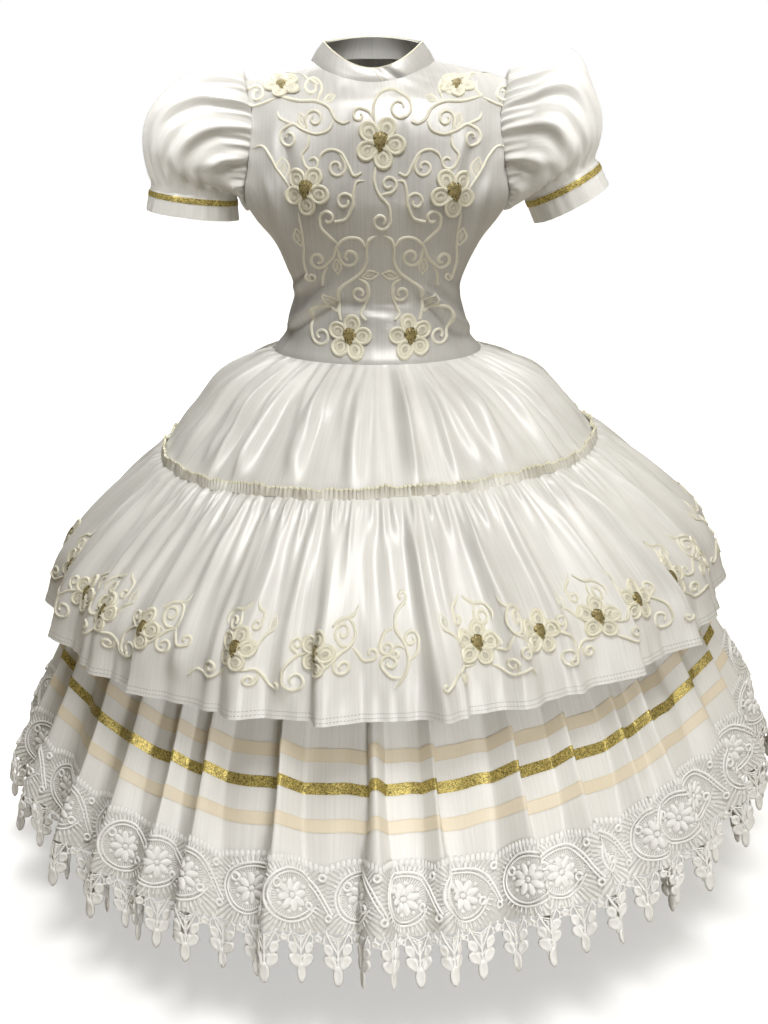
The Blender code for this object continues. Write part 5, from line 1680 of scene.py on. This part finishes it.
FRONT_FLOWERS = (
    Flower("flower_chest", 0.0045, -0.084, 0.057, -25, 0.00055),
    Flower("flower_bust_left", -0.0775, -0.1335, 0.05358, -33, 0.0016),
    Flower("flower_bust_right", 0.0855, -0.136, 0.05358, 33, 0.002),
    Flower("flower_waist_left", -0.0315, -0.3, 0.05244, -10, 0.001),
    Flower("flower_waist_right", 0.0395, -0.2995, 0.05244, 10, 0.00075),
    Flower("flower_shoulder_left", -0.1045, -0.025, 0.04332, 24, 0.0015, 0.6),
    Flower("flower_shoulder_right", 0.089, -0.024, 0.04332, -30, 0.0006, 0.6),
)
FLOWER_SCROLLS = (
    (
        Scroll(((-13.5, -0.3), (-27.8, -5.7), (-39, -17.3), (-40.4, -29.3)), 13.2),
        Scroll(((-23.3, -4.2), (-30.8, 1.8)), -7.0),
        Scroll((
            (5.3, -12), (12.8, -12.8), (21.8, -6), (29.3, 1.5), (39, 7.8), (44.3, 18), (41.3, 27.8),
            (35.9, 33),
        )),
        Scroll(((47.7, 43.8), (42, 35.7), (35.9, 33.3), (26.3, 32.3), (17.3, 26.3))),
        Scroll(((39, 8.1), (29.3, 8.4), (23.6, 14.3)), -9.0),
        Scroll(((25.5, -0.8), (23.3, -9.8)), 9.2),
        Scroll(((40, 7.5), (46, 0.8), (53.6, -8.3), (60.5, -7.8)), 6.6, 0.9),
    ),
    (
        Scroll(((-8.3, -21), (-18.8, -28.5), (-30.8, -36.8), (-42.8, -34.8), (-53.3, -32.3), (-62, -40.8))),
        Scroll(((-36, -35.7), (-39, -28.5)), -7.5),
        Scroll(
            ((4.5, -19.5), (14.3, -21.3), (23.3, -20.3), (32.3, -28.5), (38.3, -38.7), (43.7, -42)), 5.0, 0.8
        ),
        Scroll(((27.8, -23.3), (27, -33.3)), -7.0),
        Scroll(((-21.5, 21), (-23, 28.5), (-15.8, 36.3), (-3.8, 38.3), (5, 45))),
        Scroll(((-5.6, 37.2), (-2.9, 28.5)), -8.6),
        Scroll(((9.2, 47.3), (14.3, 40.5), (21.8, 35.7), (22.5, 26.3)), -6.0, 1.0),
        Scroll(((15, 18), (15, 8.3), (21, 4.8), (29.3, 14.3), (38.3, 19.5))),
    ),
)
GAP_SCROLLS = (
    Scroll(((-12, -40), (-3, -28), (3, -10), (0, 8), (-8, 22), (-4, 38), (4, 44)), 6.0, 0.9),
    Scroll(((3, -10), (11, -4), (15, 8)), 8.5),
    Scroll(((-3, -28), (-14, -27), (-22, -18)), -9.5),
    Scroll(((-8, 22), (-18, 19), (-24, 8)), 8.0),
    Scroll(((1, 2), (-7, 6), (-13, 2)), 5.5),
)
GAP_PLACES = (3.2,)
FLOWER_LEAVES = ((((29.3, 2.3), (14.5, 4.8)),), (((34, 17), (38, 34)),))
SEEN_FLOWERS = (-58.0, -47.5, -37.2, -19.9, -8.6, 13.6, 23.3, 33.1, 42.7, 54.0, 66.0)
HIDDEN_FLOWERS = 15
FLOWER_Z = -0.557


def around(degrees: float, across: float, along: float) -> Pair:
    """A place on an oval round 0, given its half sizes."""
    return across * math.cos(math.radians(degrees)), along * math.sin(math.radians(degrees))


@dataclass
class FlowerShape:
    """The stitched flower: five petals in rounds of stitches, and a heart of glitter.

    The profiles are shares of the way from the middle to the edge, with heights in millimetres.
    """

    petal_profile: tuple[Pair, ...] = (
        (0.0, 0.9), (0.26, 0.2), (0.41, 1.8), (0.54, 0.2), (0.66, 0.3), (0.8, 2.6), (0.92, 2.2), (1.0, 0.0),
    )
    heart_profile: tuple[Pair, ...] = ((0.0, 2.3), (0.6, 2.1), (0.9, 1.5), (1.0, 0.3))

    def petals(self, pattern: Pattern, width: float, turn: float, base: float) -> None:
        """Adds five overlapping petals."""
        for number in range(5):
            angle = 90.0 + turn + 72.0 * number
            lift = base + 0.00012 * number
            profile = tuple((share, lift + high / 1000.0) for share, high in self.petal_profile)
            place = around(angle, 0.285 * width, 0.285 * width)
            pattern.lobe(place, (0.225 * width, 0.205 * width), angle, profile, sides=18, tip=0.15)

    def heart(self, pattern: Pattern, width: float, turn: float, base: float) -> None:
        """Adds the drop in the middle, its tip down."""
        profile = tuple((share, base + high / 1000.0) for share, high in self.heart_profile)
        half, tilt = (0.2 * width, 0.185 * width), 90.0 + 0.4 * turn
        pattern.lobe((0.0, 0.01 * width), half, tilt, profile, sides=18, tip=0.8)

    def leaf(self, pattern: Pattern, start: Pair, end: Pair, width: float) -> None:
        """Adds a leaf in millimetres: two bowed cords and a satin-stitched middle."""
        (x0, y0), (x1, y1) = start, end
        size = math.hypot(x1 - x0, y1 - y0)
        bow = 0.25
        nx, ny = -(y1 - y0) * bow, (x1 - x0) * bow
        middle = ((x0 + x1) / 2, (y0 + y1) / 2)
        for side in (1.0, -1.0):
            line = Scroll((start, (middle[0] + side * nx, middle[1] + side * ny), end))
            pattern.cord(line.path(0.0022), width, 0.0009, CORD_BASE, (0.7, 0.6), sides=3)
        tilt = math.degrees(math.atan2(y1 - y0, x1 - x0))
        pattern.lobe(
            (middle[0] / 1000, middle[1] / 1000), (0.26 * size / 1000, 0.11 * size / 1000), tilt,
            ((0.0, 0.0007), (1.0, 0.0)), sides=10,
        )


@dataclass
class EmbroideryMaker:
    """The raised stitching on the bodice's front and on the flounce."""

    shop: Workshop
    bodice: BodiceCloth
    flounce: TierCloth
    shape: FlowerShape = field(default_factory=FlowerShape)

    def build(self) -> None:
        """Lays the scrolls, the leaves and the flowers."""
        self.front()
        self.ring()

    def front(self) -> None:
        """The bodice's front: scrolls on either side of its middle, and seven flowers."""
        plan = FrontPlan(self.bodice)
        pattern = Pattern()
        mirrored = tuple(scroll.mirrored(CENTRE_LINE) for scroll in FRONT_SCROLLS)
        for scroll in FRONT_SCROLLS + mirrored + CENTRE_SCROLLS:
            pattern.cord(scroll.path(), scroll.width / 1000.0, CORD_HEIGHT, CORD_BASE)
        for start, end in FRONT_LEAVES:
            self.shape.leaf(pattern, start, end, 0.0028)
            flipped = tuple((2 * CENTRE_LINE - x, y) for x, y in (start, end))
            self.shape.leaf(pattern, *flipped, 0.0028)
        self.place("bodice_scrolls", plan, pattern, THREAD)
        hearts = Pattern()
        for flower in FRONT_FLOWERS:
            petals, heart = Pattern(), Pattern()
            self.shape.petals(petals, flower.width, flower.turn, flower.stand - 0.0006)
            self.shape.heart(heart, flower.width, flower.turn, flower.stand + 0.0006)
            for part in (petals, heart):
                part.move((flower.x, flower.z), flower.squash)
            self.place(f"{flower.name}_petals", plan, petals, PETAL, (flower.name,))
            hearts.join(heart)
        self.place("flower_hearts", plan, hearts, GLITTER)

    def place(
        self, name: str, plan: FrontPlan, pattern: Pattern, kind: ClothFinish, nodes: tuple[str, ...] = ()
    ) -> None:
        """Lays a pattern on the front as one piece."""
        points, faces, uv = pattern.merged()
        self.shop.piece(name, plan.lay(points), faces, uv, kind, nodes)

    def ring(self) -> None:
        """The flounce: flowers between scrolls in two kinds that take turns, mirrored past the middle."""
        plan = RingPlan(self.flounce, self.flounce.folds, FLOWER_Z)
        start, end = SEEN_FLOWERS[-1], SEEN_FLOWERS[0] + 360.0
        hidden = start + (end - start) * np.arange(1, HIDDEN_FLOWERS + 1) / (HIDDEN_FLOWERS + 1)
        azimuths = np.concatenate([SEEN_FLOWERS, hidden])
        places = plan.length_of(azimuths)
        hearts, petals = Pattern(), Pattern()
        self.shape.heart(hearts, 0.046, 0.0, 0.001)
        self.shape.petals(petals, 0.048, -12.0, CORD_BASE)
        self.shop.strewn("flounce_petals", plan, petals, places, PETAL)
        self.shop.strewn("flounce_hearts", plan, hearts, places, GLITTER)
        order = np.arange(len(azimuths))
        flip = (azimuths > 0.0) & (azimuths < 180.0)
        for number, (scrolls, leaves) in enumerate(zip(FLOWER_SCROLLS, FLOWER_LEAVES)):
            for mirrored, side, sign in ((False, "left", 1.0), (True, "right", -1.0)):
                drawn = tuple(scroll.mirrored(0.0) for scroll in scrolls) if mirrored else scrolls
                pattern = self.scrolls(drawn)
                for root, tip in leaves:
                    self.shape.leaf(pattern, (sign * root[0], root[1]), (sign * tip[0], tip[1]), 0.0019)
                chosen = places[(order % 2 == number) & (flip == mirrored)]
                self.shop.strewn(f"flounce_scrolls_{'ab'[number]}_{side}", plan, pattern, chosen, THREAD)
        middle = plan.length_of(np.array(GAP_PLACES))
        self.shop.strewn("flounce_scrolls_middle", plan, self.scrolls(GAP_SCROLLS), middle, THREAD)

    def scrolls(self, lines: tuple[Scroll, ...]) -> Pattern:
        """The flounce's scrolls as a pattern of cords."""
        pattern = Pattern()
        for line in lines:
            pattern.cord(line.path(0.002), line.width / 1000.0 * 1.02, CORD_HEIGHT, CORD_BASE, sides=3)
        return pattern


# Lace

REPEAT = 0.076
SLOPE = 1.118  # length along the underskirt for each metre of height
MEDALLION = Scroll((
    (28, -8), (16, -21), (-3, -26), (-21, -19), (-29, -3), (-24, 15), (-6, 26), (14, 24), (28, 12),
    (38, -5), (45, -17),
))
INNER = Scroll((
    (24, -8), (13, -17.5), (-3, -22.3), (-18, -16), (-25.3, -3), (-21, 13), (-5, 22.3), (12, 20.5),
    (24.5, 9.5), (34.5, -6), (41.5, -18),
))


@dataclass
class LaceMaker:
    """The wide border: a net band, raised work on it, and two pendants below each repeat."""

    shop: Workshop
    under: UnderskirtCloth
    middle: float = -0.7922
    base: float = 0.002
    band_lift: float = 0.0012
    band_rise: float = 0.025
    arch_rise: float = 0.009
    plan: RingPlan = field(init=False)
    repeats: int = field(init=False)

    def __post_init__(self) -> None:
        """The ring's length over its folds, cut into whole repeats."""
        self.plan = RingPlan(self.under, self.under.folds, self.middle)
        self.repeats = round(self.plan.lengths[-1] / REPEAT)

    def build(self) -> None:
        """Builds the band, the raised work and the pendants of both halves."""
        for half, first, last in halves(self.under.folds):
            self.band(half, first, last)
            self.raised(half, first, last)
            self.pendants(half, first, last)

    def places(self, plan: RingPlan, first: float, last: float, count: int) -> tuple[Grid, float]:
        """Where a motif lies that comes count times round a ring, between two columns, and its pitch."""
        pitch = plan.lengths[-1] / count
        start, end = plan.length_at(first), plan.length_at(last)
        middles = (np.arange(-count, 3 * count) + 0.5) * pitch
        return middles[(middles >= start) & (middles < end)], pitch

    def band(self, half: str, first: float, last: float) -> None:
        """The net, whose upper edge rises over each medallion by |sin|^0.7 of its place in the repeat."""
        u = np.linspace(first, last, 580)
        share = np.linspace(0.0, 1.0, 6)
        grid_u, grid_s = np.meshgrid(u, share)
        length = self.plan.length_at(u)
        pitch = self.plan.lengths[-1] / self.repeats
        arch = np.abs(np.sin(math.pi * length / pitch))[None, :] ** 0.7
        top = self.middle + (self.band_rise + self.arch_rise * arch) / SLOPE
        v = HEM_Z + (top - HEM_Z) * grid_s
        across = np.broadcast_to((length % self.plan.lengths[-1]) / pitch * REPEAT, v.shape)
        self.shop.sheet(
            f"lace_{half}", self.under, u, share, NET, points=self.under.lifted(grid_u, v, self.band_lift),
            plotted=np.stack([across, (v - self.middle) * SLOPE], axis=-1), held=Held.LAID,
            rests_on=(f"underskirt_{half}",),
        )

    def raised(self, half: str, first: float, last: float) -> None:
        """Medallions: a double cord that runs on to the next, an eight-petalled flower, rings and bars."""
        pattern = Pattern()
        for line, wide in ((MEDALLION, 0.0024), (INNER, 0.0019)):
            pattern.cord(line.path(0.0026), wide, 0.0013, 0.0, (0.6, 0.8), sides=3)
        petal, knot = ((0.0, 0.0011), (0.62, 0.0018), (1.0, 0.0)), ((0.0, 0.0016), (1.0, 0.0))
        for number in range(8):
            angle = 45.0 * number + 11.0
            pattern.lobe(around(angle, 0.01, 0.01), (0.0068, 0.0037), angle, petal, sides=9)
            pattern.lobe(around(angle + 22.5, 0.0168, 0.016), (0.0023, 0.0023), angle, knot, sides=6)
        pattern.lobe((0.0, 0.0), (0.003, 0.003), 0.0, ((0.0, 0.0008), (0.5, 0.0016), (1.0, 0.0)), sides=8)
        for x, y, size in ((-17.5, 10.5, 3.9), (19.5, -9.5, 3.7), (35, 20, 3.2), (-35.5, -20, 3.2)):
            ring = np.array([around(turn, size, size) for turn in np.linspace(0.0, 360.0, 11)])
            pattern.cord((ring + [x, y]) / 1000.0, 0.0027, 0.0021, 0.0, (1.0, 1.0), sides=3)
        for angle in np.arange(14.0, 374.0, 9.0):
            outer = 0.0345 if 200.0 < angle < 340.0 or 60.0 < angle < 130.0 else 0.033
            bar = np.array([around(angle, 0.029, 0.027), around(angle, outer, outer - 0.0015)])
            pattern.cord(bar, 0.0015, 0.0009, 0.0, (1.0, 1.0), sides=2)
        for x in np.arange(-37.0, 38.0, 4.75):
            top = 26.4 + 9.0 * abs(math.cos(math.pi * x / 76.0)) ** 0.7
            bead = ((0.0, 0.0014), (1.0, -0.0006))
            pattern.lobe((x / 1000.0, top / 1000.0), (0.0042, 0.0022), 90.0, bead, sides=7)
        middles, pitch = self.places(self.plan, first, last, self.repeats)
        self.shop.strewn(
            f"lace_work_{half}", self.plan, pattern, middles, LACE, pitch / REPEAT, (0.0, 0.0, self.base)
        )

    def pendants(self, half: str, first: float, last: float) -> None:
        """Pendants: a laddered V, two small and two large lobes, a long drop, and a knot between two."""
        pattern = Pattern()
        thick = 0.002

        def bar(*points: Pair, width: float = 0.0026) -> None:
            """A free cord through points in millimetres."""
            line = Scroll(tuple(points)).path(0.003) if len(points) > 2 else np.array(points) / 1000.0
            pattern.cord(line, width, thick, 0.0, (0.8, 0.8), round_=True)

        def lobe(x: float, y: float, long: float, wide: float, tilt: float, tip: float = 0.3) -> None:
            """A free lobe, domed in front and flat behind, in millimetres."""
            profile = ((0.0, 0.0008), (0.5, 0.0011), (0.8, 0.0019), (1.0, 0.0002))
            pattern.lobe((x / 1000, y / 1000), (long / 1000, wide / 1000), tilt, profile, 11, tip, -0.0009)

        for side in (-1.0, 1.0):
            bar((side * 11.5, 3.0), (side * 7.0, -7.0), (0.0, -22.0), width=0.003)
            bar((0.0, -28.0), (side * 3.4, -25.0), (side * 6.4, -22.0))
            bar((side * 10.0, 0.0), (side * 14.0, -6.0), (side * 11.5, -13.0))
            bar((side * 19.0, -3.5), (side * 13.0, -4.5))
            bar((side * 19.0, -7.0), (side * 13.5, -10.0))
            lobe(side * 8.8, -16.8, 8.0, 5.8, 90.0 - side * 24.0, 0.5)
            lobe(side * 7.0, -30.0, 9.4, 6.8, 90.0 - side * 30.0, 0.5)
            for drop in (0.0, 3.2, 6.4, 9.6):
                bar((side * (8.8 - 0.72 * drop), -0.4 - drop), (0.0, -4.8 - drop), width=0.0022)
        bar((0.0, -3.0), (0.0, -20.0), (0.0, -36.0), width=0.0034)
        lobe(0.0, -44.0, 12.0, 5.4, 90.0, 0.1)
        lobe(19.0, -5.0, 4.6, 4.2, 90.0, 0.0)
        bar((19.0, 2.0), (19.0, -3.0), width=0.0034)
        plan = RingPlan(self.under, self.under.folds, HEM_Z - 0.004)
        middles, pitch = self.places(plan, first, last, 2 * self.repeats)
        self.shop.strewn(
            f"lace_pendants_{half}", plan, pattern, middles, LACE, 2.0 * pitch / REPEAT,
            (0.0, 0.004, self.base - 0.0008),
        )


# Studio

FLOOR_Z, FLOOR_REACH = -0.965, 12.0
SENSOR_HEIGHT = 24.0
FOCAL_SHARE = 1100.0 / 1024.0  # focal length as a share of the picture's height
CAMERA_PLACE, CAMERA_DOWN = (0.0087, -1.36, -0.043), 20.4
WHITE, SKY = (1.0, 1.0, 1.0), (1.0, 0.905, 0.69)
# the floor's colour as the camera sees it, and in the light that it throws back
PAPER_SEEN, PAPER_BOUNCE = (0.9, 0.9, 0.9), (0.4, 0.355, 0.28)


@dataclass(frozen=True)
class Lamp:
    """A studio lamp: an area lamp, or where it has a cone in degrees, a spot."""

    name: str
    place: Triple
    aim: Triple
    size: float
    power: float
    cone: float = 0.0

    def build(self) -> None:
        """Puts it in the scene, turned to its aim."""
        lamp = bpy.data.lights.new(self.name, "SPOT" if self.cone else "AREA")
        lamp.energy = self.power
        if self.cone:
            lamp.spot_size, lamp.spot_blend = math.radians(self.cone), 1.0
            lamp.shadow_soft_size = 0.5 * self.size
        else:
            lamp.size = self.size
        stand = bpy.data.objects.new(self.name, lamp)
        stand.location = self.place
        aim = np.array(self.aim) - np.array(self.place)
        tilt = math.acos(-aim[2] / np.linalg.norm(aim))
        stand.rotation_euler = (tilt, 0.0, math.atan2(aim[1], aim[0]) - math.pi / 2)
        bpy.context.scene.collection.objects.link(stand)


LAMPS = (
    Lamp("key", (0.22, -1.02, 2.1), (0.0, -0.2, -0.45), 1.0, 50.0),
    Lamp("low", (0.62, -2.5, -0.6), (0.02, -0.2, -0.84), 0.9, 132.0, 31.0),
    Lamp("back", (-0.3, 1.9, 1.7), (0.0, 0.1, -0.5), 1.2, 40.0),
    Lamp("sleeve_lamp_left", (-1.1, -1.2, 1.0), (-0.285, 0.0, 0.03), 0.4, 420.0, 9.0),
    Lamp("sleeve_lamp_right", (1.1, -1.2, 1.0), (0.285, 0.0, 0.03), 0.4, 360.0, 9.0),
)


def place_camera(scene: bpy.types.Scene) -> None:
    """The camera at the photograph's angle."""
    camera = bpy.data.cameras.new("camera")
    camera.sensor_fit = "VERTICAL"
    camera.sensor_height = SENSOR_HEIGHT
    camera.lens = FOCAL_SHARE * SENSOR_HEIGHT
    holder = bpy.data.objects.new("camera", camera)
    holder.location = CAMERA_PLACE
    holder.rotation_euler = (math.radians(90.0 - CAMERA_DOWN), 0.0, 0.0)
    scene.collection.objects.link(holder)
    scene.camera = holder


def light_world(scene: bpy.types.Scene) -> None:
    """A white backdrop for the camera, and warm light that grows upwards and to the right."""
    world = bpy.data.worlds.new("studio")
    world.use_nodes = True
    bench = NodeBench(world.node_tree)
    direction = bench.add("ShaderNodeSeparateXYZ", s0=bench.add("ShaderNodeTexCoord").outputs["Generated"])
    rise = bench.span(direction.outputs[2], -0.05, 1.0, 0.02, 0.38)
    side = bench.span(direction.outputs[0], -0.8, 0.6, 0.35, 1.35)
    seen = bench.add("ShaderNodeLightPath").outputs["Is Camera Ray"]
    light = bench.add("ShaderNodeMix", data_type="FLOAT", s0=seen, s2=bench.times(rise, side), s3=1.0)
    background = world.node_tree.nodes["Background"]
    bench.link(bench.mix(seen, SKY, WHITE), background.inputs[0])
    bench.link(light.outputs[0], background.inputs[1])
    scene.world = world


def lay_floor(scene: bpy.types.Scene) -> None:
    """A pale floor that fades into the backdrop away from the dress."""
    floor = bpy.data.meshes.new("floor")
    square = ((-1, -1), (1, -1), (1, 1), (-1, 1))
    corners = [(x * FLOOR_REACH, y * FLOOR_REACH, FLOOR_Z) for x, y in square]
    floor.from_pydata(corners, [], [(0, 1, 2, 3)])
    paper = bpy.data.materials.new("paper")
    paper.use_nodes = True
    shader = paper.node_tree.nodes["Principled BSDF"]
    shader.inputs["Roughness"].default_value = 0.9
    shader.inputs["Emission Color"].default_value = (*WHITE, 1.0)
    bench = NodeBench(paper.node_tree)
    place = bench.add("ShaderNodeTexCoord").outputs["Object"]
    away = bench.add("ShaderNodeVectorMath", operation="LENGTH", s0=place).outputs["Value"]
    # Painted light: for the camera the floor also glows, faintly near the dress and fully away from it.
    painted_glow = bench.span(away, 1.1, 2.4, 0.44, 1.0)
    seen = bench.add("ShaderNodeLightPath").outputs["Is Camera Ray"]
    bench.link(bench.times(seen, painted_glow), shader.inputs["Emission Strength"])
    bench.link(bench.mix(seen, PAPER_BOUNCE, PAPER_SEEN), shader.inputs["Base Color"])
    floor.materials.append(paper)
    ground = bpy.data.objects.new("floor", floor)
    scene.collection.objects.link(ground)


def studio() -> None:
    """The camera, the floor, and soft studio light."""
    scene = bpy.context.scene
    place_camera(scene)
    scene.view_settings.view_transform = "Standard"
    light_world(scene)
    lay_floor(scene)
    for lamp in LAMPS:
        lamp.build()


def main() -> None:
    """Builds the dress's pieces in order and sets up the studio."""
    logging.basicConfig(level=logging.INFO, format="%(message)s")
    shop = Workshop(thread_group())
    bodice = BodiceMaker(shop)
    bodice.build()
    CollarMaker(shop).build()
    SleeveMaker(shop, -1, "left", SLEEVE_LEFT, CUFF_LEFT, 0.0).build()
    SleeveMaker(shop, 1, "right", SLEEVE_RIGHT, CUFF_RIGHT, 0.011).build()
    skirts = SkirtMaker(shop)
    skirts.build()
    EmbroideryMaker(shop, bodice.cloth, skirts.flounce).build()
    LaceMaker(shop, skirts.under).build()
    studio()
    log.info("all pieces: %d triangles", shop.triangles)


if __name__ == "__main__":
    main()
